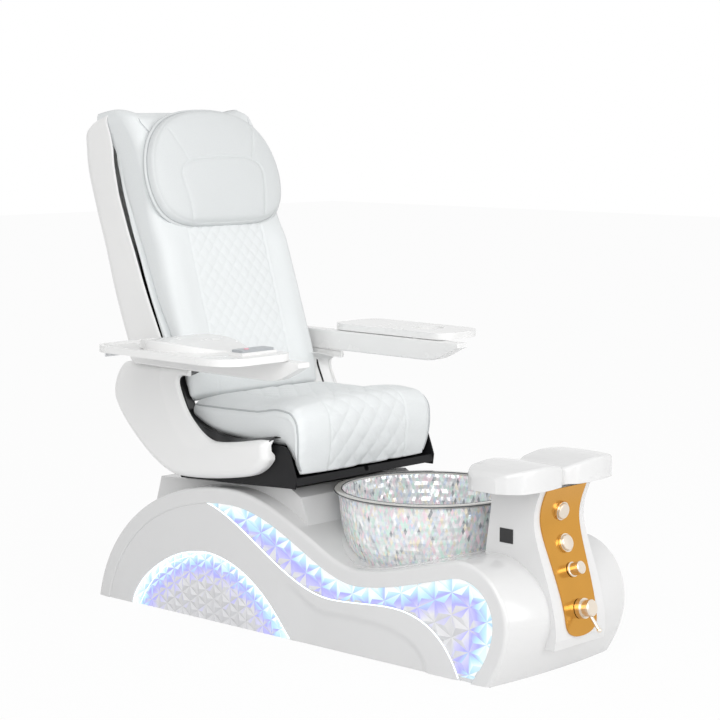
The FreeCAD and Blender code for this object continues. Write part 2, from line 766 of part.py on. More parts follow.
node("drain_pump", drain_pump())
BOWL_FLOOR_Z = s.bowl_foot_z + s.bowl_wall


def jet_housing():
    """Jet motor hung below the well, whose magnet drives the impeller through the glass."""
    top = s.bowl_foot_z - s.gasket_thick - s.wall
    motor = rod("JetMotorCase", s.jet_radius, s.jet_motor_length, (s.jet_offset, s.bowl_y, top - s.jet_motor_length))
    flange = rod("JetFlange", s.jet_radius + 8, 4, (s.jet_offset, s.bowl_y, top - 4))
    return fuse("JetHousing", [motor, flange])


node("jet_housing", jet_housing())


def jet_cap():
    """Slotted cap over the impeller, standing on the bowl's floor."""
    radius, high = s.jet_radius, s.jet_cap_height
    profile = [(radius - 3, 0), (radius, 0), (radius, high), (8, high), (8, high - 3), (radius - 3, high - 3)]
    cap = turned("JetCapBody", profile)
    slots = []
    for turn in range(8):
        slot = box("JetSlot", (s.jet_radius, 6, s.jet_cap_height / 2), (s.jet_radius * 0.8, -3, 6))
        holder = group("JetSlotTurn", [slot])
        holder.Placement = Placement(ORIGIN, Rotation(Z_AXIS, 45 * turn))
        slots.append(holder)
    return put(cut("JetCap", cap, fuse("JetSlots", slots)), (s.jet_offset, s.bowl_y, BOWL_FLOOR_Z))


node("jet_cap", jet_cap())


def jet_impeller():
    hub = rod("ImpellerHub", 7, s.jet_cap_height - 9)
    blades = [hub]
    for turn in range(6):
        size = (s.impeller_radius, s.blade_thick, s.jet_cap_height - 16)
        blade = box("Blade", size, (0, -s.blade_thick / 2, 2))
        holder = group("BladeTurn", [blade])
        holder.Placement = Placement(ORIGIN, Rotation(Z_AXIS, 60 * turn))
        blades.append(holder)
    return put(fuse("JetImpeller", blades), (s.jet_offset, s.bowl_y, BOWL_FLOOR_Z + 0.3))


node("jet_impeller", jet_impeller())


# Control pillar: plate, controls, valves, spout and badge plate

def control_plate():
    """Gold plate bent along the pillar's front, narrower towards its rounded foot."""
    gap = 0.2
    front = shifted(PLATE_STEPS, gap + n.plate_thick)
    back = [list(reversed(step)) for step in reversed(shifted(PLATE_STEPS, gap))]
    sheet_metal = across(side_face(front + back), n.plate_half + 10)
    top, foot, half, low = n.pillar_top_z, n.plate_foot_z, n.plate_half, n.plate_foot_half
    right_edge = [Vector(half, 0, top), Vector(half + 4, 0, n.waist_z), Vector(low + 6, 0, n.waist_z - 90),
                  Vector(low, 0, foot + 45)]
    foot_round = [Vector(low, 0, foot + 45), Vector(low, 0, foot + 12), Vector(low - 25, 0, foot),
                  Vector(0, 0, foot)]
    edges = [bezier(right_edge), bezier(foot_round)]
    edges += [bezier([Vector(-p.x, 0, p.z) for p in reversed(points)]) for points in (foot_round, right_edge)]
    edges.append(line(Vector(-half, 0, top), Vector(half, 0, top)))
    front_view = Part.Face(Part.Wire(edges)).translated(Vector(0, n.rest_front_y - 200, 0))
    plate = sheet_metal.common(front_view.extrude(Vector(0, 500, 0)))
    cutters = [control_hole(name, n.running_gap) for name in CONTROLS]
    for place, _ in CONTROLS.values():
        flat = Part.makeCylinder(n.mixer_ring_radius, 20, Vector(0, 0, n.plate_thick + 0.5))
        flat.Placement = place
        cutters.append(flat)
    return plate.cut(cutters)


node("control_plate", made("ControlPlate", control_plate()))
PLATE_FACE = s.plate_thick + 0.5


def switch_bodies():
    """The two switches: a bezel cup on the plate and a threaded body through the pillar's wall."""
    bodies = []
    bore, ring = s.button_stem + 0.3, s.button_radius + 0.5
    outline = [(bore, -s.switch_length), (s.switch_radius, -s.switch_length), (s.switch_radius, PLATE_FACE),
               (ring + s.bezel_width, PLATE_FACE), (ring + s.bezel_width, PLATE_FACE + 7),
               (ring, PLATE_FACE + 7), (ring, PLATE_FACE + 1.5), (bore, PLATE_FACE + 1.5)]
    for name in ("button_high", "button_low"):
        body = turned(f"Switch{name}", outline)
        body.Placement = CONTROLS[name][0]
        bodies.append(body)
    return group("SwitchBodies", bodies)


node("switch_bodies", switch_bodies())


def push_button(name):
    """Round cap on a stem that slides in the switch."""
    low = PLATE_FACE + 1.5 + s.button_travel + s.running_gap
    outline = [(0, low - 20), (s.button_stem, low - 20), (s.button_stem, low), (s.button_radius, low),
               (s.button_radius, low + s.button_high - 2), (s.button_radius - 2, low + s.button_high),
               (0, low + s.button_high + 1)]
    return turned(name, outline)


for label, place in (("upper_button", "button_high"), ("lower_button", "button_low")):
    node(label, push_button(f"Cap{place}"), CONTROLS[place][0])


def valve_bodies():
    """Brass bodies of the diverter and the mixer behind the pillar's wall, with their spindles."""
    bodies = []
    for name in ("diverter", "mixer"):
        radius = s.valve_radius
        neck = CONTROLS[name][1]
        outline = [(0, -s.valve_length - 20), (radius, -s.valve_length - 20), (radius, -20), (neck, -20),
                   (neck, PLATE_FACE + 0.5), (5, PLATE_FACE + 0.5), (5, PLATE_FACE + 14), (0, PLATE_FACE + 14)]
        body = turned(f"Valve{name}", outline)
        body.Placement = CONTROLS[name][0]
        bodies.append(body)
    return group("ValveBodies", bodies)


node("valve_bodies", valve_bodies())


def diverter_knob():
    base, bore = PLATE_FACE + 1, 5 + s.turn_fit
    radius, high = s.diverter_radius, s.diverter_length
    outline = [(bore, base), (radius + 3, base), (radius + 3, base + 4), (radius, base + 6),
               (radius, base + high - 2), (radius - 2, base + high), (0, base + high), (0, base + 14),
               (bore, base + 14)]
    return turned("DiverterKnob", outline)


node("diverter_knob", diverter_knob(), CONTROLS["diverter"][0])


def mixer_knob():
    """Turning body of the mixer, with the slot that its lever tilts in."""
    base, bore = PLATE_FACE + 1, 5 + s.turn_fit
    ring, radius, high = s.mixer_ring_radius, s.mixer_radius, s.mixer_length
    outline = [(bore, base), (ring, base), (ring, base + s.mixer_ring_high), (radius, base + s.mixer_ring_high),
               (radius, base + high - 3), (radius - 3, base + high), (0, base + high), (0, base + 14),
               (bore, base + 14)]
    knob = turned("MixerBody", outline)
    slot = box("LeverSlot", (s.lever_radius * 2 + 1, s.mixer_radius * 2, 22),
               (-s.lever_radius - 0.5, -s.mixer_radius * 2, base + s.mixer_ring_high + 1))
    return cut("MixerKnob", knob, slot)


node("mixer_knob", mixer_knob(), CONTROLS["mixer"][0])
LEVER_HEIGHT = PLATE_FACE + s.mixer_ring_high + 9


def mixer_lever():
    """Pin lever that tilts about a cross pin inside the knob, pointing down and out."""
    pin = rod("LeverPin", 3, s.lever_radius * 2 + 0.8, (-s.lever_radius - 0.4, -8, LEVER_HEIGHT), "x")
    stick = rod("LeverStick", s.lever_radius, s.lever_length)
    ball = doc.addObject("Part::Sphere", "LeverTip")
    bind(ball, "Radius", s.lever_radius + 1.5)
    put(ball, (0, 0, s.lever_length))
    arm = group("LeverArm", [fuse("LeverRod", [stick, ball])])
    arm.Placement = Placement(Vector(0, -8, float(LEVER_HEIGHT)), Rotation(X_AXIS, 62))
    return fuse("MixerLever", [pin, arm])


node("mixer_lever", mixer_lever(), CONTROLS["mixer"][0])


def fill_spout():
    """Short spout through the pillar's rear wall, turned down over the bowl's rim."""
    start = s.pillar_rear_y - 26
    run = rod("SpoutRun", s.spout_radius, s.spout_reach + 26, (0, start, s.spout_z), "y")
    bend = doc.addObject("Part::Sphere", "SpoutBend")
    bind(bend, "Radius", s.spout_radius)
    end_y = s.pillar_rear_y + s.spout_reach
    put(bend, (0, end_y, s.spout_z))
    nose = rod("SpoutNose", s.spout_radius, 20, (0, end_y, s.spout_z - 20))
    body = fuse("SpoutBody", [run, bend, nose])
    bore = rod("SpoutBore", s.spout_radius - 3, 40, (0, end_y, s.spout_z - 40))
    return cut("FillSpout", body, bore)


node("fill_spout", fill_spout())


def badge_plate():
    """Bare plate on the pillar's right side."""
    half_wide, half_high = s.badge_wide / 2, s.badge_high / 2
    outline = [(-half_wide, -half_high), (half_wide, -half_high), (half_wide, half_high),
               (-half_wide, half_high)]
    plate = padded_plate("BadgePlate", outline, s.badge_thick, "YZ_Plane")
    return put(plate, (-(s.pillar_half + s.badge_thick), s.pillar_rear_y - 50, 366))


node("badge_plate", badge_plate())


# Footrest on its rails

def footrest_rails():
    rails = []
    for side in (-1, 1):
        start = s.rest_rail_half * side - s.rest_rail_wide / 2
        at = (start, s.pillar_rear_y - s.rest_rail_length - 15, s.pillar_top_z)
        rails.append(box("RestRail", (s.rest_rail_wide, s.rest_rail_length, s.rest_rail_high), at))
    return group("FootrestRails", rails)


node("footrest_rails", footrest_rails())


def footrest_section(x, front, rear, top):
    """One slice of the footrest: flat below, with round ends and a crowned top."""
    low = n.rest_low_z
    middle = (front + rear) / 2
    waist = (low + top) / 2
    ends = [yz((front + 14, low), x), yz((front + 16, top - 7), x), yz((rear - 16, top - 7), x),
            yz((rear - 14, low), x)]
    return Part.Wire([
        arc(ends[0], yz((front, waist), x), ends[1]),
        arc(ends[1], yz((middle, top), x), ends[2]),
        arc(ends[2], yz((rear, waist), x), ends[3]),
        line(ends[3], ends[0]),
    ])


def footrest():
    """Two rounded lobes with a groove between them, slotted below for the rails."""
    half, front, rear, top = n.rest_half, n.rest_front_y, n.rest_rear_y, n.rest_high_z
    slices = [(0.0, front + 8, rear, top - 17), (0.16, front + 6, rear - 3, top - 10),
              (0.5, front, rear - 12, top), (0.8, front + 10, rear - 22, top - 4),
              (0.94, front + 42, rear - 40, top - 14), (1.0, front + 70, rear - 62, top - 26)]
    left = [(share * half, *rest) for share, *rest in slices]
    right = [(-x, *rest) for x, *rest in reversed(left[1:])]
    block = Part.makeLoft([footrest_section(*place) for place in right + left], True, False)
    deep = rear - front
    for side in (-1, 1):
        high = n.pillar_top_z + n.rest_rail_high - n.rest_low_z + 1
        slot = Part.makeBox(n.rest_rail_wide + 1, deep + 40, high)
        start = n.rest_rail_half * side - n.rest_rail_wide / 2 - 0.5
        block = block.cut(slot.translated(Vector(start, front - 20, n.rest_low_z - 0.5)))
    return block


node("footrest", made("Footrest", footrest()))


# Seat slide on the plinth, in the seat's tilted frame

SEAT_FRAME = Placement(Vector(0, n.plinth_y, n.plinth_z), Rotation(X_AXIS, -n.seat_tilt))
RAIL_TOP = s.rail_high + s.running_gap


def slide_rails():
    rails = []
    for side in (-1, 1):
        start = s.rail_half * side - s.rail_wide / 2
        size = (s.rail_wide, s.rail_length, s.rail_high)
        rails.append(box("SlideRail", size, (start, -s.rail_length / 2, 0)))
    return group("SlideRails", rails)


node("slide_rails", slide_rails(), SEAT_FRAME)
SCREW_HIGH = 34


def slide_motor():
    """Geared motor on a foot at the plinth's rear, behind the lead screw."""
    start = s.screw_length / 2
    case = rod("SlideMotorCase", s.motor_radius, s.motor_length, (0, start, SCREW_HIGH), "y")
    foot = centred_box("SlideMotorFoot", (s.motor_radius * 2 + 30, s.motor_length, 6), (0, start, 0))
    web = centred_box("SlideMotorWeb", (s.motor_radius, s.motor_length, 20), (0, start, 0))
    body = fuse("SlideMotorBody", [case, foot, web])
    bore = rod("SlideMotorBore", s.screw_radius + s.turn_fit, 30, (0, start - 5, SCREW_HIGH), "y")
    return cut("SlideMotor", body, bore)


node("slide_motor", slide_motor(), SEAT_FRAME)


def lead_screw():
    """Lead screw, its front end in the front bearing and its rear end in the motor."""
    length = s.screw_length
    return fuse("LeadScrew", [
        rod("ScrewThread", s.screw_radius, length + 20, (0, -length / 2, SCREW_HIGH), "y"),
        rod("ScrewNose", s.screw_radius + 4, 6, (0, -length / 2 - 6, SCREW_HIGH), "y"),
    ])


node("lead_screw", lead_screw(), SEAT_FRAME)


# Seat frame, cushion and side panels

ARM_INNER_X = n.seat_half + n.frame_plate + n.arm_inset
TRAY_INNER_X = ARM_INNER_X + n.tray_inset


def seat_frame():
    """Black pressed frame: runners, floor pan, cross walls, seat board and tall side plates."""
    half, plate = n.seat_half, n.frame_plate
    floor = n.rail_high + n.running_gap
    pan = Part.makeBox(2 * half, 440, plate, Vector(-half, -345, floor))
    pieces = [pan]
    for side in (-1, 1):
        for edge in (-1, 1):
            inner = n.rail_half * side + edge * (n.rail_wide / 2 + n.running_gap)
            start = inner if edge > 0 else inner - plate
            pieces.append(Part.makeBox(plate, 345, floor, Vector(start, -250, 3)))
    for y, high in ((-250, 102), (85, 124)):
        pieces.append(Part.makeBox(2 * half, plate, high, Vector(-half, y, floor)))
    pieces.append(Part.makeBox(60, 40, 40, Vector(-30, -60, floor)))
    for piece in pieces:
        piece.Placement = SEAT_FRAME
    bore = Part.makeCylinder(n.screw_radius + n.running_gap, 900, Vector(0, -450, SCREW_HIGH), Y_AXIS)
    bore.Placement = SEAT_FRAME
    board = Part.makeBox(2 * half, 350, plate, Vector(-half, 122, n.seat_board_z))
    front_bar = side_face([[(122, 450), (36, 461)], [(36, 461), (30, 441)], [(30, 441), (122, 434)]])
    cheek_steps = [
        [(512, 405), (96, 431)], [(96, 431), (34, 432)], [(34, 432), (30, 462)], [(30, 462), (38, 484)],
        [(38, 484), (52, 520)], [(52, 520), (58, 540), (70, 547), (86, 547)], [(86, 547), (140, 545)],
        [(140, 545), (260, 541), (380, 546), (446, 572)], [(446, 572), (478, 590), (488, 632), (503, 662)],
        [(503, 662), (512, 680), (517, 694), (520, 706)],
        [(520, 706), (544, 706)], [(544, 706), (566, 610), (575, 540), (560, 500)], [(560, 500), (512, 405)],
    ]
    cheek = side_face(cheek_steps)
    for side in (-1, 1):
        start = half if side > 0 else -half - plate
        pieces.append(cheek.translated(Vector(start, 0, 0)).extrude(Vector(plate, 0, 0)))
    frame = pieces[0].fuse([*pieces[1:], board, across(front_bar, half)])
    pins = Part.makeCylinder(n.hinge_pin_radius + n.turn_fit, 700, Vector(-350, n.pivot_y, n.pivot_z), X_AXIS)
    above = Part.makeBox(4 * half, 400, 200, Vector(-2 * half, 100, n.seat_board_z + plate))
    inside = Part.makeBox(2 * half, 400, 200, Vector(-half, 100, n.seat_board_z + plate))
    return frame.cut([bore, pins, inside.common(above)]).removeSplitter()


node("seat_frame", made("SeatFrame", seat_frame()))


def seat_cushion():
    """Padded slab that bends down over its front, as its side view shows."""
    half = n.seat_half - n.cushion_side
    base = n.seat_board_z + n.frame_plate + n.cushion_gap
    stations = [
        ((476, 622), (477, 600), half - 10), ((466, 632), (458, 580), half),
        ((340, 636), (352, base + 8), half), ((215, 641), (222, base + 1), half),
        ((115, 654), (136, base + 2), half), ((58, 648), (100, base + 2), half),
        ((25, 610), (84, 526), half), ((22, 565), (70, 508), half),
        ((33, 505), (60, 490), half), ((44, 466), (54, 466), half - 4),
    ]
    return padded_form(stations, n.cushion_crown, n.cushion_bulge)


node("seat_cushion", made("SeatCushion", seat_cushion()))


def side_panel_steps():
    """The C's outline: rear bow, belly, front tip, inner bow and the lip below its top."""
    top, low, rear, front = n.panel_top_z, n.panel_low_z, n.panel_rear_y, n.panel_front_y
    lip = (rear - 322, top - 24)
    return [
        [(rear - 60, top), (rear - 36, top), (rear, top - 50), (rear, top - 95)],
        [(rear, top - 95), (rear, top - 164), (rear - 178, low), (rear - 280, low)],
        [(rear - 280, low), (rear - 388, low), (front + 114, low + 23), (front + 39, low + 61)],
        [(front + 39, low + 61), (front + 17, low + 72), (front, low + 88), (front, low + 108)],
        [(front, low + 108), (front, low + 134), (front + 6, low + 150), (front + 30, low + 149)],
        [(front + 30, low + 149), (front + 102, low + 146), (front + 150, low + 119), (front + 234, low + 119)],
        [(front + 234, low + 119), (front + 334, low + 119), (rear - 288, top - 104), (rear - 277, top - 50)],
        [(rear - 277, top - 50), (rear - 272, top - 25), (rear - 290, lip[1]), lip],
        [lip, (lip[0] - 15, lip[1]), (lip[0] - 15, top), (lip[0], top)],
    ]


def side_panel():
    """C-shaped side panel, hollow towards the seat frame, with the arm's hinge lug."""
    face = side_face(side_panel_steps())
    inner = n.seat_half + n.frame_plate
    outer = inner + n.panel_width
    solid = face.translated(Vector(-outer, 0, 0)).extrude(Vector(n.panel_width, 0, 0))
    rim = [edge for edge in solid.Edges if edge.BoundBox.XMax < -outer + 1]
    solid = solid.makeFillet(7, rim)
    hollow = inset(face, n.panel_skin).translated(Vector(-outer + n.panel_skin, 0, 0))
    solid = solid.cut(hollow.extrude(Vector(n.panel_width, 0, 0)))
    lug_inner = ARM_INNER_X - n.running_gap - n.lug_thick
    pivot = Vector(-lug_inner, n.arm_pivot_y, n.arm_pivot_z)
    lug = Part.makeCylinder(26, n.lug_thick, pivot, Vector(-1, 0, 0))
    web = Part.makeBox(n.lug_thick, 52, n.arm_pivot_z - n.panel_top_z + 4,
                       Vector(-lug_inner - n.lug_thick, n.arm_pivot_y - 26, n.panel_top_z - 4))
    hole = Part.makeCylinder(n.arm_pin_radius + n.turn_fit, 60, pivot + Vector(30, 0, 0), Vector(-1, 0, 0))
    return solid.fuse([lug, web]).cut(hole)


def both_sides(label, shape):
    node(f"{label}_right", made(f"{label}_right", shape))
    node(f"{label}_left", made(f"{label}_left", mirrored(shape)))


both_sides("side_panel", side_panel())


# Arms

def arm_beam():
    """Arm beam with a round hinge end, its hinge pin and the pin that the tray turns on."""
    top, front, pivot_y, pivot_z = n.arm_top_z, n.arm_front_y, n.arm_pivot_y, n.arm_pivot_z
    radius = top - pivot_z
    steps = [
        [(pivot_y, top), (front, top)], [(front, top), (front, top - 14)],
        [(front, top - 14), (front + 60, top - 42), (front + 80, top - 60), (front + 130, top - 60)],
        [(front + 130, top - 60), (pivot_y - 120, top - 60), (pivot_y - 60, pivot_z - radius),
         (pivot_y, pivot_z - radius)],
    ]
    edges = side_path(steps)
    edges.append(arc(yz((pivot_y, pivot_z - radius)), yz((pivot_y + radius, pivot_z)), yz((pivot_y, top))))
    outer = ARM_INNER_X + n.arm_width
    beam = Part.Face(Part.Wire(edges)).translated(Vector(-outer, 0, 0)).extrude(Vector(n.arm_width, 0, 0))
    walls = (-outer, -ARM_INNER_X)
    rim = [edge for edge in beam.Edges for wall in walls
           if max(abs(edge.BoundBox.XMin - wall), abs(edge.BoundBox.XMax - wall)) < 1]
    beam = beam.makeFillet(4, rim)
    pin_start = Vector(-outer + 5, pivot_y, pivot_z)
    pin = Part.makeCylinder(n.arm_pin_radius, n.arm_width + n.lug_thick + 1, pin_start, X_AXIS)
    head_start = pin_start + Vector(n.arm_width + n.lug_thick - 3.5, 0, 0)
    head = Part.makeCylinder(n.arm_pin_radius + 4, 3, head_start, X_AXIS)
    tray_pin = Part.makeCylinder(n.tray_pin_radius, n.tray_thick - 5, tray_pivot() + Vector(0, 0, -1))
    washer = Part.makeCylinder(n.tray_pin_radius + 6, n.tray_rise, tray_pivot())
    return beam.fuse([pin, head, tray_pin, washer])


def tray_pivot():
    return Vector(-ARM_INNER_X - n.arm_width + 18, n.tray_pivot_y, n.arm_top_z)


both_sides("arm", arm_beam())


# Trays, drawn on the right side

TRAY_LOW = n.arm_top_z + n.tray_rise + 0.3


def tray_outline(wide, front, rear, inset=0.0):
    """Plan of a tray: cut rear corners, a gently bowed outer edge and round front corners."""
    inner, outer = -TRAY_INNER_X - inset, -TRAY_INNER_X - wide + inset
    front, rear, corner = front + inset, rear - inset, n.tray_corner
    points = [
        (inner, front + corner), (inner, rear - corner), (inner - corner * 0.6, rear),
        (outer + corner * 1.2, rear), (outer, rear - corner * 1.1), (outer, front + corner * 1.8),
        (outer + corner * 1.8, front), (inner - corner, front),
    ]
    corners = [Vector(x, y, TRAY_LOW) for x, y in points]
    edges = []
    for index in range(0, len(corners), 2):
        start, end = corners[index], corners[index + 1]
        following = corners[(index + 2) % len(corners)]
        edges.append(line(start, end))
        if index in (2, 4, 6):
            knee = {2: Vector(outer, rear, TRAY_LOW), 4: Vector(outer, front, TRAY_LOW),
                    6: Vector(inner, front, TRAY_LOW)}[index]
            edges.append(bezier([end, (end + knee * 2) / 3, (following + knee * 2) / 3, following]))
        else:
            edges.append(bezier([end, (end * 2 + Vector(inner, rear, TRAY_LOW)) / 3,
                                 (following * 2 + Vector(inner, rear, TRAY_LOW)) / 3, following]))
    return Part.Face(Part.Wire(edges))


def tray_blank(wide, front, rear):
    """A tray's plate with its pin hole."""
    plate = tray_outline(wide, front, rear).extrude(Vector(0, 0, n.tray_thick))
    hole = Part.makeCylinder(n.tray_pin_radius + n.turn_fit, n.tray_thick - 5,
                             tray_pivot() + Vector(0, 0, 0))
    return plate.cut(hole)


def long_tray():
    """Right tray: a dish at the rear, a crowned pad along the lap side and the remote's dock."""
    wide, front, rear = n.right_tray_wide, n.right_tray_front_y, n.right_tray_rear_y
    plate = tray_blank(wide, front, rear)
    top = TRAY_LOW + n.tray_thick
    dish = tray_outline(wide, front, rear, n.tray_rim).translated(Vector(0, 0, n.tray_thick - n.dish_depth))
    dish = dish.extrude(Vector(0, 0, n.tray_thick))
    keep = Part.makeBox(2 * wide, rear - 190 - front, 60,
                        Vector(-TRAY_INNER_X - 2 * wide + 90, front - 10, TRAY_LOW - 10))
    plate = plate.cut(dish.cut(keep))
    inner, outer = -TRAY_INNER_X - 12, -TRAY_INNER_X - wide + 25
    near, far = front + 135, rear - 70
    middle = (near + far) / 2
    lens = Part.Face(Part.Wire([
        arc(Vector(inner - 30, near, top), Vector(outer, middle, top), Vector(inner - 30, far, top)),
        arc(Vector(inner - 30, far, top), Vector(inner, middle, top), Vector(inner - 30, near, top)),
    ])).translated(Vector(0, 0, -1))
    radius = (far - near) ** 2 / (8 * n.hump_high) + n.hump_high / 2
    crown_start = Vector(-TRAY_INNER_X - wide * 1.5, middle, top + n.hump_high - radius)
    crown = Part.makeCylinder(radius, 2 * wide, crown_start, X_AXIS)
    hump = lens.extrude(Vector(0, 0, n.hump_high + 2)).common(crown)
    return plate.fuse([hump, remote_dock(top)]).removeSplitter()


def remote_centre():
    return Vector(-TRAY_INNER_X - n.right_tray_wide * 0.36, n.right_tray_front_y + 72, 0)


def remote_dock(top):
    """Raised rim that the remote lies in, across the tray's front."""
    centre = remote_centre()
    wide, long = n.remote_wide + 2 * n.dock_wall, n.remote_long + 2 * n.dock_wall
    rim = Part.makeBox(long, wide, 9, Vector(centre.x - long / 2, centre.y - wide / 2, top - 1))
    seat = Part.makeBox(n.remote_long + 1, n.remote_wide + 1, 20,
                        Vector(centre.x - n.remote_long / 2 - 0.5, centre.y - n.remote_wide / 2 - 0.5, top))
    return rim.cut(seat)


node("tray_right", made("TrayRight", long_tray()))


def cup_tray():
    """Left tray with a round cup recess, drawn on the right side and mirrored."""
    plate = tray_blank(n.left_tray_wide, n.left_tray_front_y, n.left_tray_rear_y)
    floor = TRAY_LOW + n.tray_thick - n.cup_depth
    cup = Part.makeCylinder(n.cup_radius, n.tray_thick, Vector(-(TRAY_INNER_X + n.cup_inset), n.cup_y, floor))
    return mirrored(plate.cut(cup))


node("tray_left", made("TrayLeft", cup_tray()))


def tray_bracket(wide, rear):
    """Chrome stiffener below a tray, outside the arm, with a turned-down end."""
    start = -ARM_INNER_X - n.arm_width - 6
    end = -TRAY_INNER_X - wide + 30
    top = TRAY_LOW
    flat = Part.Face(Part.makePolygon([
        Vector(start, rear - 260, top), Vector(start, rear - 170, top), Vector(end, rear - 20, top),
        Vector(end, rear - 60, top), Vector(start, rear - 260, top),
    ])).extrude(Vector(0, 0, -3))
    lip = Part.makeBox(60, 4, 16, Vector(end, rear - 24, top - 16))
    return flat.fuse(lip)


node("tray_bracket_right", made("TrayBracketRight", tray_bracket(n.right_tray_wide, n.right_tray_rear_y)))
node("tray_bracket_left", made("TrayBracketLeft", mirrored(tray_bracket(n.left_tray_wide, n.left_tray_rear_y))))


# Remote control

REMOTE_LOW = TRAY_LOW + n.tray_thick + 0.3


def remote_control():
    centre = remote_centre()
    case = box("RemoteCase", (s.remote_long, s.remote_wide, s.remote_thick),
               (centre.x - n.remote_long / 2, centre.y - n.remote_wide / 2, REMOTE_LOW))
    rounded = doc.addObject("Part::Fillet", "RemoteRounded")
    rounded.Base = case
    rounded.Edges = [(number, 6.0, 6.0) for number in (1, 3, 5, 7)]
    well = rod("KeyWell", s.remote_key_radius + 0.3, s.remote_thick, (*key_centre(), REMOTE_LOW + 6))
    return cut("RemoteControl", rounded, well)


def key_centre():
    return remote_centre().x - n.remote_long * 0.2, remote_centre().y


node("remote_control", remote_control())


def remote_key():
    high = s.remote_thick - 6 - s.remote_key_travel
    radius = s.remote_key_radius
    outline = [(0, 0), (radius, 0), (radius, high), (radius - 1, high + 2), (0, high + 2.4)]
    return put(turned("RemoteKey", outline), (*key_centre(), REMOTE_LOW + 6 + n.remote_key_travel + 0.3))


node("remote_key", remote_key())


# Back, in its own leaning frame: Y is depth to the rear and Z runs up the back from the hinge

BACK_FRAME = Placement(Vector(0, n.pivot_y, n.pivot_z), Rotation(X_AXIS, -n.back_tilt))


def joint_depth(up):
    """Depth of the line where the shell meets the upholstery."""
    return -25 + 0.09 * (up - 400)


def back_frame():
    """Side rails, cross tubes, hinge arms and hinge pins."""
    wide, depth = n.back_rail_wide, n.massage_depth - n.back_rail_wide / 2
    outer = n.hinge_arm_x
    pieces = []
    for up in (200, n.back_top - 85):
        pieces.append(Part.makeBox(2 * outer, wide, wide, Vector(-outer, depth, up)))
    for side in (-1, 1):
        start = outer - wide if side > 0 else -outer
        pieces.append(Part.makeBox(wide, wide, n.back_top - 120, Vector(start, depth, 60)))
        arm_start = outer if side > 0 else -outer - n.hinge_arm_thick
        profile = [(-20, -10), (14, -20), (depth + wide, 60), (depth + wide, 260), (depth, 260), (-20, 16)]
        arm = polygon(profile, arm_start).extrude(Vector(n.hinge_arm_thick, 0, 0))
        pin_start = outer if side > 0 else -n.seat_half - n.frame_plate
        pin_length = n.seat_half + n.frame_plate - outer
        pieces += [arm, Part.makeCylinder(n.hinge_pin_radius, pin_length, Vector(pin_start, 0, 0), X_AXIS)]
    return pieces[0].fuse(pieces[1:]).removeSplitter()


node("back_frame", made("BackFrame", back_frame()), BACK_FRAME)


def recline_motor():
    """Geared recline drive on the right cheek plate, round the back's hinge pin."""
    inner = s.hinge_arm_x + s.hinge_arm_thick + 1
    length = s.seat_half - inner
    at = (-s.seat_half, s.pivot_y, s.pivot_z)
    disc = rod("ReclineGear", s.recline_motor_radius, length, at, "x")
    case = rod("ReclineCase", s.motor_radius * 0.8, s.motor_length,
               (-s.seat_half + 26, s.pivot_y + 5, s.pivot_z - s.motor_length - 10))
    bore_start = (-s.seat_half - 50, s.pivot_y, s.pivot_z)
    bore = rod("ReclineBore", s.hinge_pin_radius + s.turn_fit, 200, bore_start, "x")
    return cut("ReclineMotor", fuse("ReclineBody", [disc, case]), bore)


node("recline_motor", recline_motor())


def shell_wire(level, half, rear, wall=0.0):
    """One level of the back shell: straight along the front joint, with round rear corners."""
    front = joint_depth(level) - 2.4 * wall
    corner = 55.0
    half, rear = half - wall, rear - wall
    knee = corner * 0.7
    points = [Vector(-half, front, level), Vector(-half, rear - corner, level),
              Vector(-half + corner - knee, rear - corner + knee, level), Vector(-half + corner, rear, level),
              Vector(half - corner, rear, level), Vector(half - corner + knee, rear - corner + knee, level),
              Vector(half, rear - corner, level), Vector(half, front, level)]
    return Part.Wire([line(points[0], points[1]), arc(*points[1:4]), line(points[3], points[4]),
                      arc(*points[4:7]), line(points[6], points[7]), line(points[7], points[0])])


def back_shell():
    """Moulded rear shell, bellied at the shoulders and rounded over at its top."""
    rear, top, half = n.shell_rear, n.shell_top, n.seat_half - n.shell_side
    levels = [(150, half - 12, rear - 36), (300, half - 3, rear - 24), (455, half, rear - 16),
              (610, half - 6, rear - 16), (740, half - 16, rear), (860, half - 24, rear + 4),
              (930, half - 30, rear - 12), (top, half - 60, rear - 60)]
    outer = Part.makeLoft([shell_wire(*level) for level in levels], True, False)
    wall = n.shell_wall
    inner_levels = [(149, levels[0][1], levels[0][2]), *levels[1:-1],
                    (top - wall, levels[-1][1], levels[-1][2] - wall)]
    inner = Part.makeLoft([shell_wire(*level, wall) for level in inner_levels], True, False)
    return outer.cut(inner)


node("back_shell", made("BackShell", back_shell()), BACK_FRAME)


def back_cushion():
    """Back upholstery with a crowned front, drawn in at its ends."""
    half, front, top = n.seat_half - n.back_side, n.back_front, n.back_top
    levels = [(84, front + 16, half - 14), (100, front + 3, half - 7), (250, front, half),
              (411, front, half), (600, front, half - 9), (760, front, half - 26), (880, front + 3, half - 30),
              (950, front + 18, half - 40), (top, front + 50, half - 62)]
    stations = [((ahead, up), (joint_depth(up) - n.cushion_gap, up), width) for up, ahead, width in levels]
    return padded_form(stations, n.back_crown, 2)


node("back_cushion", made("BackCushion", back_cushion()), BACK_FRAME)


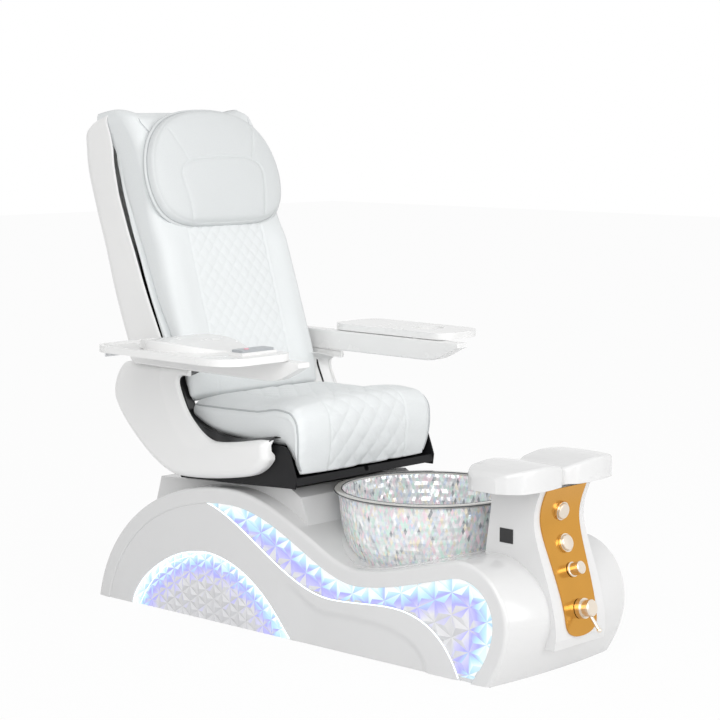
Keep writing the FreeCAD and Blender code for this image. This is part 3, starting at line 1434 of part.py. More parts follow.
def head_pillow():
    """D-shaped pillow, crowned at the front and flat towards the back."""
    low, high, half, thick = n.pillow_low, n.pillow_high, n.pillow_half, n.pillow_thick
    rear = n.back_front - n.back_crown - 1
    shares = [(0.0, 0.52, 0.35), (0.06, 0.84, 0.75), (0.2, 0.97, 0.95), (0.45, 1.0, 1.0), (0.68, 0.95, 0.95),
              (0.85, 0.78, 0.8), (0.95, 0.56, 0.6), (1.0, 0.34, 0.35)]
    stations = []
    for share, width, depth in shares:
        up = low + share * (high - low)
        stations.append(((rear - thick * 0.7 * depth, up), (rear, up), half * width))
    return padded_form(stations, thick * 0.3, 4)


node("head_pillow", made("HeadPillow", head_pillow()), BACK_FRAME)


# Massage unit

RAIL_LOW = 225
RAIL_HIGH = s.back_top - 85


def massage_rails():
    rods = [rod("MassageRod", s.massage_rod_radius, RAIL_HIGH - RAIL_LOW,
                (s.massage_rod_x * side, s.massage_depth, RAIL_LOW)) for side in (-1, 1)]
    return group("MassageRails", rods)


node("massage_rails", massage_rails(), BACK_FRAME)


def massage_carriage():
    """Carriage bored for both rails, with ears that hold the roller shaft."""
    depth = s.massage_depth - 20
    block = centred_box("CarriageBlock", (s.carriage_half * 2, 40, s.carriage_high), (0, depth, s.carriage_low))
    ears = [box("CarriageEar", (6, 22, 30), (s.carriage_half * side - 3, depth - 20, s.carriage_low + 25))
            for side in (-0.96, 0.96)]
    body = fuse("CarriageBody", [block, *ears])
    bores = [rod("CarriageBore", s.massage_rod_radius + s.turn_fit, 400,
                 (s.massage_rod_x * side, s.massage_depth, s.carriage_low - 50)) for side in (-1, 1)]
    axle_hole = rod("AxleHole", s.axle_radius + s.turn_fit, 400, (-200, depth - 10, s.carriage_low + 40), "x")
    return cut("MassageCarriage", body, fuse("CarriageBores", [*bores, axle_hole]))


node("massage_carriage", massage_carriage(), BACK_FRAME)


def massage_rollers():
    """Four rollers on one shaft."""
    depth, high = s.massage_depth - 30, s.carriage_low + 40
    half = s.carriage_half
    parts = [rod("RollerShaft", s.axle_radius, half * 2, (-half, depth, high), "x")]
    for place in (-0.78, -0.3, 0.3, 0.78):
        start = half * place - s.roller_wide / 2
        parts.append(rod("Roller", s.roller_radius, s.roller_wide, (start, depth, high), "x"))
    return fuse("MassageRollers", parts)


node("massage_rollers", massage_rollers(), BACK_FRAME)


# Check every object, then write each sub-part

doc.recompute()
for obj in doc.Objects:
    if {"Invalid", "Error"} & set(obj.State):
        raise RuntimeError(f"{obj.Label} failed: {obj.State}")
labels = [obj.Label for obj in nodes]
if len(set(labels)) != len(labels):
    raise RuntimeError("two sub-parts share a name")
unsound = [obj.Label for obj in nodes
           if obj.Shape.isNull() or not obj.Shape.isValid() or not obj.Shape.Solids]
if unsound:
    raise RuntimeError(f"no sound solid: {unsound}")

os.makedirs("parts", exist_ok=True)
for obj in nodes:
    obj.Shape.exportStep(f"parts/{obj.Label}.step")
    solids = obj.Shape.Solids
    print(f"{obj.Label}: {len(solids)} solids, {sum(solid.Volume for solid in solids) / 1000:.0f} cm3")
print(len(nodes), "sub-parts")
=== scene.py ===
"""Pedicure spa chair: its visible skin, lights, padding and finishes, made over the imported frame."""

import json
import math

import bmesh
import bpy
import numpy as np
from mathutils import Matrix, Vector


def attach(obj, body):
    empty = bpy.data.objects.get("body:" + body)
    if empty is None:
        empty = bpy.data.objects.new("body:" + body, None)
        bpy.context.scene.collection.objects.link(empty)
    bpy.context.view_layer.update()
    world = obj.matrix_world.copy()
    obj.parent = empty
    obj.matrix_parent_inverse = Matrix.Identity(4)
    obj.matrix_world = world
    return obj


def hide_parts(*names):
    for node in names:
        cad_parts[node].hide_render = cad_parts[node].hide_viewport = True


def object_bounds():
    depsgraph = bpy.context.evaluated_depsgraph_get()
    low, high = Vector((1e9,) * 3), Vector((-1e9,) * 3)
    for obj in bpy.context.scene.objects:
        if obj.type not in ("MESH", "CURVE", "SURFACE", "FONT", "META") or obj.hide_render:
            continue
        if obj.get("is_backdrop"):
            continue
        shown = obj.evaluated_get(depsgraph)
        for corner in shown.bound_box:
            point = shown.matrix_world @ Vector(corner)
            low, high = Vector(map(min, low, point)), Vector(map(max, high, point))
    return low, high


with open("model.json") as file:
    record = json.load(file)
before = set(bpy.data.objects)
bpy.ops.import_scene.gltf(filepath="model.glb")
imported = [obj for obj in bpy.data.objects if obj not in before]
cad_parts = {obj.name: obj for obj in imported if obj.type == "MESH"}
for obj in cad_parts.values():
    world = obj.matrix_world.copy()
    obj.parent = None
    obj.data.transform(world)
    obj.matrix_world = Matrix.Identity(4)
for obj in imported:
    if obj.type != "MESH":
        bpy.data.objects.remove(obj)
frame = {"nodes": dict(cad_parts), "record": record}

bl_info = {
    "name": "Pedicure Spa Chair",
    "version": (1, 0, 0),
    "blender": (4, 5, 0),
    "location": "View3D > Sidebar > Spa Chair",
    "description": "Dresses a pedicure spa chair with its mouldings, light panels, crystal bowl and upholstery",
    "category": "Add Mesh",
}

MM = 0.001
WHITE, BLACK = (1.0, 1.0, 1.0, 1.0), (0.0, 0.0, 0.0, 1.0)
SIDES = (("right", -1), ("left", 1))
FLOOR_WHITE = 0.94
FLOOR_HALF = 20
WORLD_LIGHT = 0.6
CAMERA_PLACE, CAMERA_TURN = (-4.0131, -3.8152, 1.4575), (90 - 7.08, 0, -46)
LENS, SENSOR_WIDTH = 98.65, 36

# Degrees between two faces above which an edge stays sharp, steps round a turned surface, and the rows, half
# the columns and the frames of the cloth simulation
EDGE_ANGLE = 50
SOFT_ANGLE = 180
ROUND_STEPS = 160
COARSE_ROWS = 64
COARSE_HALF = 44
LAST_FRAME = 20

# A padded slab's ring: points along half of a side, points round a corner, and where its upper run starts
SIDE_POINTS = 20
CORNER_POINTS = 8
TOP_START = SIDE_POINTS + CORNER_POINTS

# The flank's plane and plates, the well, the back's foot, the pillow's seam, the light panels' peaks and
# glow, the bowl's cuts and the side panels, in mm
FLOOR_GAP = 1.0
SIDE_X = -284.0
SIDE_TAPER = math.radians(2.5)
PLATE_DEPTH = 12.4
BORDER_WIDTH = 46.0
BORDER_ROLLS = (11.0, 3.0)
BORDER_TOE = (-584.0, FLOOR_GAP)
WELL_Y = -209.0
WELL_LIP = 3.0
WELL_RADIUS = 245.0
RIM_MIDDLE, RIM_HALF = (254.5, 427.5), (10.5, 4.5)
LIGHT_DEPTH = 5.4
SKIN_DEPTH, SKIN_ROLL, SCOOP_DEPTH = 3.0, 3.5, 8.0
RIBBON_DEPTHS, MOON_DEPTHS = (11.7, 4.4), (11.7, 7.0)
RIBBON_REACH, MOON_REACH = 62.0, 58.0
CUT_LIFT, CUT_CHANCE = 0.9, 1.1
PANEL_X, PANEL_BACK, PANEL_FALL = 330.0, 288.0, 34.0
BACK_ORIGIN = (540.0, 520.0)
BACK_TILT = math.radians(17.5)
PILLOW_SEAM = -92.0

# Outlines on the flank as (y, z), the first two as joined Bezier runs, and the bowl's walls as (r, z)
HULL = [
    [(862, 0), (820, 230), (600, 400), (290, 400)],
    [(290, 400), (90, 400), (-67, 241), (-182, 241)],
    [(-182, 241), (-300, 241), (-492, 317), (-545, 317)],
    [(-545, 317), (-630, 317), (-700, 250.6), (-700, 160)],
    [(-700, 160), (-700, 99.2), (-668, 40), (-640, 0)],
]
RIBBON_LOWER = [
    [(400, 352), (250, 330), (80, 144), (-95, 144)],
    [(-95, 144), (-170, 144), (-240, 157), (-310, 157)],
    [(-310, 157), (-420, 157), (-500, 110), (-545, 0)],
]
MOON = [(713, 0), (705, 27), (676, 72), (632, 113), (576, 150), (516, 180), (464, 194), (413, 202),
        (368, 203), (306, 191), (244, 167), (184, 130), (136, 89), (96, 45), (58, 0)]
MOON_INNER = [(680, 0), (676, 8), (651, 50), (610, 98), (563, 138), (497, 169), (430, 190), (400, 198)]
SCOOP = [(105, 178), (35, 158), (-10, 130), (-53, 112), (-124, 115), (-194, 116), (-285, 112), (-352, 99),
         (-401, 74), (-432, 41), (-445, 0)]
BOWL_OUTSIDE = [(19, 190), (120, 190), (184, 216), (211, 243), (229, 276), (240, 316), (249, 376), (254, 422)]
BOWL_INSIDE = [(246, 426), (239, 376), (229, 316), (205, 261), (170, 222), (110, 198), (19, 198)]


def bezier(points, count):
    """One Bezier run: the sum over k of C(n, k) (1 - t)^(n - k) t^k times point k."""
    points = np.asarray(points, float)
    order = len(points) - 1
    t = np.linspace(0, 1, count)[:, None]
    powers = np.arange(order + 1)
    weights = np.array([math.comb(order, k) for k in powers])
    return (weights * (1 - t) ** (order - powers) * t**powers) @ points


def travelled(points):
    """Length along a polyline, from its first point to each point."""
    return np.r_[0, np.cumsum(np.linalg.norm(np.diff(points, axis=0), axis=1))]


def at_lengths(points, lengths):
    """Points of a polyline at the given lengths along it, each coordinate interpolated by length."""
    along = travelled(points)
    return np.stack([np.interp(lengths, along, axis) for axis in points.T], axis=1)


def evenly(points, count):
    """A polyline again, with its points at even steps of length."""
    return at_lengths(points, np.linspace(0, travelled(points)[-1], count))


def rounded(points, rounds=4, closed=True):
    """A polygon's line, smoothed: each round cuts every corner off at a quarter of its two sides. An open
    line keeps its two ends."""
    points = np.asarray(points, float)
    for _ in range(rounds):
        here, ahead = points, np.roll(points, -1, axis=0)
        if not closed:
            here, ahead = points[:-1], points[1:]
        cut = np.stack([0.75 * here + 0.25 * ahead, 0.25 * here + 0.75 * ahead], axis=1).reshape(-1, 2)
        points = cut if closed else np.vstack([points[:1], cut[1:-1], points[-1:]])
    return points


def smooth_line(points, count):
    """A line through a few plane points with its corners cut off, with points at even steps of length."""
    return evenly(rounded(points, 3, closed=False), count)


def ruled(one, two, cols):
    """Grid of plane points between two lines of as many points each, closer together near both lines:
    one (1 - s) + two s with s = (1 - cos t) / 2."""
    share = ((1 - np.cos(np.linspace(0, np.pi, cols))) / 2)[:, None]
    return one[:, None] * (1 - share) + two[:, None] * share


def outline(steps, count):
    """Joined Bezier runs as points at even steps of length."""
    return evenly(np.vstack([bezier(step, 120) for step in steps]), count)


def eased(at, knots, values):
    """Cubic Hermite curve through the knots; a slope is the harmonic mean of its two chords, so it never
    swings past a knot."""
    knots = np.asarray(knots, float)
    values = np.asarray(values, float).reshape(len(knots), -1)
    gaps = np.diff(knots)
    chords = np.diff(values, axis=0) / gaps[:, None]
    same = chords[:-1] * chords[1:] > 0
    inner = np.where(same, 2 * chords[:-1] * chords[1:] / np.where(same, chords[:-1] + chords[1:], 1), 0)
    slopes = np.vstack([chords[:1], inner, chords[-1:]])
    run = np.clip(np.searchsorted(knots, at, side="right") - 1, 0, len(gaps) - 1)
    gap = gaps[run][:, None]
    u = np.clip((np.asarray(at, float) - knots[run])[:, None] / gap, 0, 1)
    return ((2 * u**3 - 3 * u**2 + 1) * values[run] + (u**3 - 2 * u**2 + u) * gap * slopes[run]
            + (3 * u**2 - 2 * u**3) * values[run + 1] + (u**3 - u**2) * gap * slopes[run + 1])


def step(low, high, value):
    """Smooth step: 3 s^2 - 2 s^3 of the share s that value has gone from low to high."""
    s = np.clip((value - low) / (high - low), 0, 1)
    return s * s * (3 - 2 * s)


def rolled(distance, radius):
    """How far a rounded edge has fallen at a distance from it: r - sqrt(r^2 - (r - distance)^2)."""
    return radius - np.sqrt(np.maximum(radius**2 - np.maximum(radius - distance, 0) ** 2, 0))


def offset(points, distance):
    """A plane line moved sideways: each point plus distance times its normal, to the left of travel."""
    ahead = np.gradient(points, axis=0)
    ahead /= np.linalg.norm(ahead, axis=1)[:, None]
    return points + np.stack([-ahead[:, 1], ahead[:, 0]], axis=1) * distance


def nearest(points, line):
    """Distance from each plane point to the nearest stretch of a polyline."""
    start, run = line[:-1], np.diff(line, axis=0)
    size = np.maximum((run**2).sum(axis=1), 1e-12)
    away = points[..., None, :] - start
    share = np.clip((away * run).sum(axis=-1) / size, 0, 1)
    return np.linalg.norm(away - share[..., None] * run, axis=-1).min(axis=-1)


def within(points, line):
    """Which plane points a closed line goes round: its turns about the point add up to more than pi."""
    away = line - points[..., None, :]
    angle = np.arctan2(away[..., 1], away[..., 0])
    turn = np.diff(angle, axis=-1, append=angle[..., :1])
    turn = (turn + np.pi) % (2 * np.pi) - np.pi
    return np.abs(turn.sum(axis=-1)) > np.pi


def above(line, level=FLOOR_GAP):
    """The points of a line of (y, z) that lie above a level."""
    return line[line[:, 1] > level]


def on_side(plane, depth, side):
    """Points of the chair's flank from plane points (y, z): depth runs inwards from the flank's plane, which
    is turned by the taper about the vertical, and side -1 is the occupant's right."""
    y, z, depth = np.broadcast_arrays(plane[..., 0], plane[..., 1], depth)
    x = SIDE_X + depth * math.cos(SIDE_TAPER) - y * math.sin(SIDE_TAPER)
    turned = depth * math.sin(SIDE_TAPER) + y * math.cos(SIDE_TAPER)
    return np.stack([-side * x, turned, z], axis=-1)


def on_back(x, u, d):
    """A point of the back: u runs up its length and d out of its rear, both leaned by the back's tilt."""
    x, u, d = np.broadcast_arrays(x, u, d)
    y = BACK_ORIGIN[0] + u * math.sin(BACK_TILT) + d * math.cos(BACK_TILT)
    z = BACK_ORIGIN[1] + u * math.cos(BACK_TILT) - d * math.sin(BACK_TILT)
    return np.stack([x, y, z], axis=-1)


def circle(count):
    """Angles at even steps once round."""
    return np.linspace(0, 2 * np.pi, count, endpoint=False)


def round_well(radius, angle, level):
    """Points round the well's upright axis: (r cos a, r sin a + the well's y, z)."""
    x, y = radius * np.cos(angle), radius * np.sin(angle) + WELL_Y
    return np.stack(np.broadcast_arrays(x, y, level), axis=-1)


def quads(rows, cols, round_rows=False, round_cols=False):
    """Four-cornered faces of a rows by cols grid of points, closed on itself where asked."""
    i, j = np.meshgrid(np.arange(rows if round_rows else rows - 1),
                       np.arange(cols if round_cols else cols - 1), indexing="ij")
    down, right = (i + 1) % rows, (j + 1) % cols
    return np.stack([i * cols + j, i * cols + right, down * cols + right, down * cols + j],
                    axis=-1).reshape(-1, 4)


def sheet(points, round_rows=False, round_cols=False, close_ends=False):
    """A grid of points, rows by cols by 3, as (points, faces), with a face over each open end if asked."""
    rows, cols = points.shape[:2]
    faces = quads(rows, cols, round_rows, round_cols).tolist()
    if close_ends:
        faces.append(list(range(cols)))
        faces.append([(rows - 1) * cols + k for k in range(cols)])
    return points.reshape(-1, 3), faces


def tube(path, radius, sides=12, closed=False):
    """Round section carried along a path: path + radius (cos a * normal + sin a * binormal), with the
    normal taken from one fixed direction that the path never follows."""
    ahead = np.gradient(path, axis=0)
    if closed:
        ahead = np.roll(path, -1, axis=0) - np.roll(path, 1, axis=0)
    ahead /= np.linalg.norm(ahead, axis=1)[:, None]
    fixed = np.eye(3)[np.argmin(np.ptp(path, axis=0))]
    normal = np.cross(ahead, fixed)
    normal /= np.linalg.norm(normal, axis=1)[:, None]
    binormal = np.cross(ahead, normal)
    angle = circle(sides)[None, :, None]
    ring = np.cos(angle) * normal[:, None] + np.sin(angle) * binormal[:, None]
    return sheet(path[:, None] + ring * radius, round_rows=closed, round_cols=True, close_ends=not closed)


def lathe(profile):
    """Surface of revolution about the well's axis, from the (r, z) of a closed profile."""
    grid = round_well(profile[:, :1], circle(ROUND_STEPS), profile[:, 1:])
    return sheet(grid, round_rows=True, round_cols=True)


def add_object(name, data):
    """A new object in the scene with that mesh, lamp or camera."""
    thing = bpy.data.objects.new(name, data)
    bpy.context.scene.collection.objects.link(thing)
    return thing


def add_mesh(name, points, faces, weld=0.0):
    """A mesh from points in mm, with its faces outward; points closer than weld are merged."""
    mesh = bpy.data.meshes.new(name)
    mesh.from_pydata((points * MM).tolist(), [], faces)
    shape = bmesh.new()
    shape.from_mesh(mesh)
    if weld:
        bmesh.ops.remove_doubles(shape, verts=shape.verts, dist=weld * MM)
        bmesh.ops.dissolve_degenerate(shape, edges=shape.edges, dist=1e-6)
    bmesh.ops.recalc_face_normals(shape, faces=shape.faces)
    shape.to_mesh(mesh)
    shape.free()
    return mesh


def build(name, parts, body, slot, covers=(), finish=None, angle=35.0, weld=0.02):
    """One object from (points in mm, faces) parts: welded, smooth up to an angle in degrees and in the
    finish named, or else in its slot's own."""
    start, vertices, faces = 0, [], []
    for points, loops in parts:
        vertices.append(points)
        faces.extend([index + start for index in loop] for loop in loops)
        start += len(points)
    mesh = add_mesh(name, np.vstack(vertices), faces, weld)
    mesh.shade_smooth()
    mesh.set_sharp_from_angle(angle=math.radians(angle))
    mesh.materials.append(finish_of(finish or slot))
    piece = add_object(name, mesh)
    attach(piece, body)
    if covers:
        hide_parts(*covers)
    return piece


def thicken(piece, thickness, offset):
    """Gives an open sheet its wall, in mm; offset -1 puts it inside the sheet and 0 on both sides."""
    wall = piece.modifiers.new("Wall", "SOLIDIFY")
    wall.thickness = thickness * MM
    wall.offset = offset


def mark(mesh, name, values, domain="POINT"):
    """Stores one number per vertex or face for the finishes to read."""
    mesh.attributes.new(name, "FLOAT", domain).data.foreach_set("value", np.asarray(values, np.float32))


class Value:
    """One shader value: Python's operators on it add the Math nodes that work it out."""

    def __init__(self, nodes, socket):
        self.nodes = nodes
        self.socket = socket

    def math(self, operation, *values):
        return self.nodes.add("ShaderNodeMath", {"operation": operation}, dict(enumerate(values)))

    def __add__(self, other):
        return self.math("ADD", self, other)

    def __sub__(self, other):
        return self.math("SUBTRACT", self, other)

    def __rsub__(self, other):
        return self.math("SUBTRACT", other, self)

    def __mul__(self, other):
        return self.math("MULTIPLY", self, other)

    def __pow__(self, other):
        return self.math("POWER", self, other)

    __radd__ = __add__
    __rmul__ = __mul__

    def clamped(self):
        return self.math("MINIMUM", self.math("MAXIMUM", self, 0.0), 1.0)


class Nodes:
    """A tree of shader nodes; add() makes every node."""

    def __init__(self, tree):
        self.tree = tree

    def add(self, kind, settings=None, sockets=None, output=0):
        node = self.tree.nodes.new(kind)
        for key, value in (settings or {}).items():
            if key == "stops":
                self.stops(node.color_ramp, value)
            else:
                setattr(node, key, value)
        for key, value in (sockets or {}).items():
            self.fill(node.inputs[key], value)
        return Value(self, node.outputs[output])

    def stops(self, ramp, stops):
        ramp.elements[0].position, ramp.elements[0].color = stops[0]
        ramp.elements[1].position, ramp.elements[1].color = stops[-1]
        for position, colour in stops[1:-1]:
            ramp.elements.new(position).color = colour

    def fill(self, socket, value):
        if isinstance(value, Value):
            self.tree.links.new(value.socket, socket)
        else:
            socket.default_value = value

    def white_to_camera(self, lit, white, share):
        """Mixes white into what is lit, by a share, where the camera, gloss or glass looks at it."""
        camera, glossy, through = (self.add("ShaderNodeLightPath", output=f"Is {kind} Ray")
                                   for kind in ("Camera", "Glossy", "Transmission"))
        seen = (camera + glossy + through).clamped() * share
        return self.add("ShaderNodeMixShader", None, {0: seen, 1: lit, 2: white})


class Finish(Nodes):
    """One procedural material, built on the Principled shader."""

    def __init__(self, name, **shader):
        self.material = bpy.data.materials.new(f"{name}_finish")
        self.material.use_nodes = True
        super().__init__(self.material.node_tree)
        self.shader = self.tree.nodes["Principled BSDF"]
        for key, value in shader.items():
            self.shader.inputs[key.replace("_", " ").title().replace("Ior", "IOR")].default_value = value

    def feed(self, name, value):
        self.fill(self.shader.inputs[name], value)

    def place(self, scale=(1, 1, 1)):
        where = self.add("ShaderNodeTexCoord", output="Object")
        return self.add("ShaderNodeMapping", None, {"Vector": where, "Scale": scale})

    def number(self, name):
        """The number of that name that a piece holds for each vertex or face."""
        return self.add("ShaderNodeAttribute", {"attribute_name": name}, None, "Fac")

    def noise(self, scale, detail=2.0, rough=0.5, stretch=(1, 1, 1)):
        sockets = {"Vector": self.place(stretch), "Scale": scale, "Detail": detail, "Roughness": rough}
        return self.add("ShaderNodeTexNoise", None, sockets)

    def cells(self, scale, feature="F1"):
        sockets = {"Vector": self.place(), "Scale": scale}
        return self.add("ShaderNodeTexVoronoi", {"feature": feature}, sockets, "Distance")

    def ramp(self, share, stops):
        return self.add("ShaderNodeValToRGB", {"stops": stops}, {"Fac": share}, "Color")

    def blend(self, share, one, two):
        return self.add("ShaderNodeMix", {"data_type": "RGBA"}, {0: share, 6: one, 7: two}, 2)

    def bump(self, height, distance, strength=1.0, under=None):
        sockets = {"Height": height, "Distance": distance, "Strength": strength}
        if under is not None:
            sockets["Normal"] = under
        return self.add("ShaderNodeBump", None, sockets)


def tone(colour, factor):
    """A colour made lighter or darker: each channel times the factor, at most 1."""
    return tuple(min(channel * factor, 1.0) for channel in colour[:3]) + (1.0,)


def moulded(name, colour, rough, grain, coat=0.0):
    """Moulded plastic or gelcoat: cloudy colour, soft swirl in the gloss and a fine orange peel."""
    finish = Finish(name, coat_weight=coat, coat_roughness=0.05, specular_ior_level=0.5)
    cloud = finish.noise(2.6, 3.0)
    finish.feed("Base Color", finish.blend(cloud, tone(colour, 0.975), tone(colour, 1.02)))
    finish.feed("Roughness", finish.noise(9.0, 4.0) * (rough * 0.5) + rough * 0.75)
    finish.feed("Normal", finish.bump(finish.noise(grain, 2.0), 0.00006, 0.35))


def leather(name, colour, rough=0.46):
    """Coated upholstery leather: pebbled cells with finer ones between, faint stretch creases, and down in the
    cells' edges a slightly duller gloss and painted shade, a darker, greyer tone."""
    finish = Finish(name, specular_ior_level=0.42, sheen_weight=0.06, sheen_roughness=0.5)
    edges = finish.cells(620.0, "DISTANCE_TO_EDGE")
    pebbles = (edges * 5.0).clamped() ** 0.6
    creases = finish.noise(38.0, 5.0, 0.62, (1.0, 1.0, 1.8))
    tint = finish.noise(3.2, 3.0)
    base = finish.blend(tint, tone(colour, 0.97), tone(colour, 1.015))
    # Painted shade: the cells' edges are mixed halfway to a darker copy of the colour.
    finish.feed("Base Color", finish.blend(pebbles, finish.blend(0.5, base, tone(colour, 0.86)), base))
    finish.feed("Roughness", (1.0 - pebbles) * 0.14 + creases * 0.1 + rough)
    wide = finish.bump(creases, 0.0009, 0.35)
    finish.feed("Normal", finish.bump(pebbles, 0.00016, 0.55, wide))


def metal(name, colour, rough, brush=(1, 1, 1), scale=420.0):
    """Solid or plated metal: brushed or polished streaks that stretch along one way, and faint smudges."""
    finish = Finish(name, metallic=1.0)
    streaks = finish.noise(scale, 3.0, 0.6, brush)
    smudge = finish.noise(14.0, 3.0)
    finish.feed("Base Color", finish.blend(smudge, tone(colour, 0.94), tone(colour, 1.05)))
    finish.feed("Roughness", streaks * (rough * 0.7) + smudge * 0.05 + rough * 0.6)
    finish.feed("Normal", finish.bump(streaks, 0.00004, 0.4))


def powder_coat(name, colour, rough=0.5):
    """Sprayed coating on steel: fine pimples, a little dust and slightly uneven gloss."""
    finish = Finish(name, specular_ior_level=0.2)
    pimples = finish.noise(900.0, 2.0, 0.7)
    dust = finish.noise(22.0, 5.0, 0.65)
    finish.feed("Base Color", finish.blend(dust, tone(colour, 0.85), tone(colour, 1.3)))
    finish.feed("Roughness", pimples * 0.16 + dust * 0.12 + (rough - 0.14))
    finish.feed("Normal", finish.bump(pimples, 0.00008, 0.5))


def lit_facets(name, icy, violet, milk):
    """Backlit prismatic panel: cyan white along its edge, violet and lavender further in and silver grey in
    the middle, as the piece's own glow number says, with each facet a little further on or back by its
    facet number, which is painted shade from the way the facet faces."""
    finish = Finish(name, roughness=0.2, specular_ior_level=0.5, emission_strength=1.0, coat_weight=0.2)
    glow, facet, swirl = finish.number("glow"), finish.number("facet"), finish.noise(24.0, 3.0)
    # Painted shade: the facet number shifts each facet lighter or darker along the ramp.
    share = (glow + (facet - 0.5) * 0.34 + (swirl - 0.5) * 0.10).clamped()
    colour = finish.ramp(share, [(0.0, tone(milk, 0.80)), (0.30, milk), (0.42, tone(violet, 1.35)),
                                 (0.56, violet), (0.74, icy), (0.92, (0.90, 1.0, 1.0, 1.0)), (1.0, WHITE)])
    lit = ((share - 0.3) * 2.6).clamped() * 0.72
    finish.feed("Base Color", finish.blend(lit, colour, BLACK))
    finish.feed("Emission Color", finish.blend(lit, BLACK, colour))
    finish.feed("Roughness", swirl * 0.14 + 0.14)
    finish.feed("Normal", finish.bump(finish.noise(160.0, 2.0), 0.0001, 0.25))


def light_line(name, colour, strength):
    """Diffusing strip in front of the LEDs: soft beads of light along an evenly lit plastic."""
    finish = Finish(name, roughness=0.4, emission_strength=strength)
    beads = finish.noise(70.0, 1.0)
    finish.feed("Base Color", tone(colour, 1.0))
    finish.feed("Emission Color", finish.blend(beads, tone(colour, 0.9), tone(colour, 1.08)))
    finish.feed("Roughness", beads * 0.2 + 0.3)


def cut_crystal(name, colour):
    """Iridescent cut glass with painted glints: silver-white facets, some pink, green, blue or gold and some
    dark, each a fixed tint by its facet number that stands in for the coloured flashes and dark
    reflections of the cut glass, with patches in which one tint comes up more often."""
    finish = Finish(name, coat_weight=0.7, coat_roughness=0.03, specular_ior_level=0.7)
    facet, patch = finish.number("facet"), finish.noise(7.0, 2.0)
    # Painted glints and reflections: each diamond's fixed tint stands in for the light that the cut glass
    # flashes or reflects.
    tint = finish.ramp((facet + (patch - 0.5) * 0.24).clamped(), [
        (0.0, (0.20, 0.22, 0.24, 1)), (0.05, (0.44, 0.47, 0.50, 1)), (0.14, (0.62, 0.65, 0.67, 1)),
        (0.28, (0.86, 0.62, 0.70, 1)), (0.38, (0.74, 0.76, 0.77, 1)), (0.50, (0.56, 0.80, 0.70, 1)),
        (0.58, (0.80, 0.82, 0.83, 1)), (0.68, (0.56, 0.66, 0.84, 1)), (0.74, (0.72, 0.74, 0.75, 1)),
        (0.84, (0.88, 0.78, 0.56, 1)), (0.88, (0.80, 0.81, 0.82, 1)), (1.0, WHITE)])
    shimmer = finish.noise(60.0, 2.0)
    finish.feed("Base Color", finish.blend(shimmer * 0.22, tint, colour))
    finish.feed("Roughness", facet * 0.16 + 0.05)
    finish.feed("Metallic", facet * 0.35)
    finish.feed("Normal", finish.bump(shimmer, 0.0008, 0.4))


def section(count):
    """Weights of a rounded slab's section: a ring of (across, turn, level) with across from -1 to 1, the
    corner's turn in degrees and level from 0 at half its thickness to 1 on the upper run."""
    side, corner = np.ones(SIDE_POINTS), np.ones(CORNER_POINTS)
    rise = np.linspace(0, 1, SIDE_POINTS + 1)[:-1]
    turn = np.linspace(0, 90, CORNER_POINTS + 1)[:-1]
    left = np.vstack([np.stack([-side, 0 * side, rise], 1), np.stack([-corner, turn, corner], 1)])
    top = np.stack([np.linspace(-1, 1, count), np.full(count, 90.0), np.ones(count)], 1)
    return np.vstack([left, top, left[::-1] * (-1, 1, 1)])


def slab(outer, inner, half, radii, crown, bulge, count):
    """A padded slab as a grid, stations by ring points. At a station with the half width h, corner radius r
    and n running from the inner point to the outer one: the top is x = s (h - r), n = 1, the corners are
    quarter turns of radius r, and the sides bulge by bulge (1 - (2n - 1)^2). The top is lifted by
    crown (1 - (x / h)^2). The lower half of the ring mirrors the upper one, with its own radius."""
    across, turn, level = section(count).T
    turn = np.radians(turn)
    thick = np.linalg.norm(outer - inner, axis=1)[:, None]
    half = half[:, None]
    grids = []
    for way, radius in zip((1, -1), radii):
        r = np.minimum(radius, np.minimum(thick, half) * 0.46)
        wide = across * (half - r) + np.sign(across) * (np.abs(across) > 0.999) * r * np.cos(turn)
        high = np.where(level < 1, thick / 2 + level * (thick / 2 - r), thick - r + r * np.sin(turn))
        if way < 0:
            high, wide = (thick - high)[:, ::-1], wide[:, ::-1]
        share = high / thick
        lift = crown * (1 - (wide / half) ** 2) * np.clip(share, 0, 1) ** 2
        swell = 1 + bulge * (1 - (2 * share - 1) ** 2) / half
        point = inner[:, None] + (outer - inner)[:, None] * ((high + lift) / thick)[..., None]
        grids.append(np.concatenate([(wide * swell)[..., None], point], axis=-1))
    return np.concatenate([grids[0], grids[1][:, 1:-1]], axis=1)


def upper_run(grid, count):
    """Which points of a slab's ring lie on its upper run of that many points."""
    ring = np.arange(grid.shape[1])
    return (ring >= TOP_START) & (ring < TOP_START + count)


def closed_skin(grid):
    """Faces of a grid whose columns close into rings, with each end ring filled by quads across it."""
    rows, cols = grid.shape[:2]
    faces = quads(rows, cols, round_cols=True).tolist()
    near = np.arange(cols // 2)
    far = (cols - near) % cols
    fill = np.stack([near, near + 1, (cols - near - 1) % cols, far], axis=1)
    for start in (0, (rows - 1) * cols):
        faces.extend([list(dict.fromkeys(face)) for face in (fill + start).tolist()])
    return grid.reshape(-1, 3), [face for face in faces if len(set(face)) > 2]


def outward(grid):
    """Unit normals of a grid whose columns close into rings: cross product of its two directions."""
    ahead = np.gradient(grid, axis=0)
    around = np.roll(grid, -1, axis=1) - np.roll(grid, 1, axis=1)
    normal = np.cross(around, ahead)
    normal /= np.maximum(np.linalg.norm(normal, axis=2), 1e-9)[..., None]
    middle = grid.mean(axis=(0, 1))
    return normal * np.sign((normal * (grid - middle)).sum())


def hats(at, knots):
    """Each knot's weight when values at the knots are joined by straight runs, one column per knot."""
    return np.stack([np.interp(at, knots, unit) for unit in np.eye(len(knots))], axis=1)


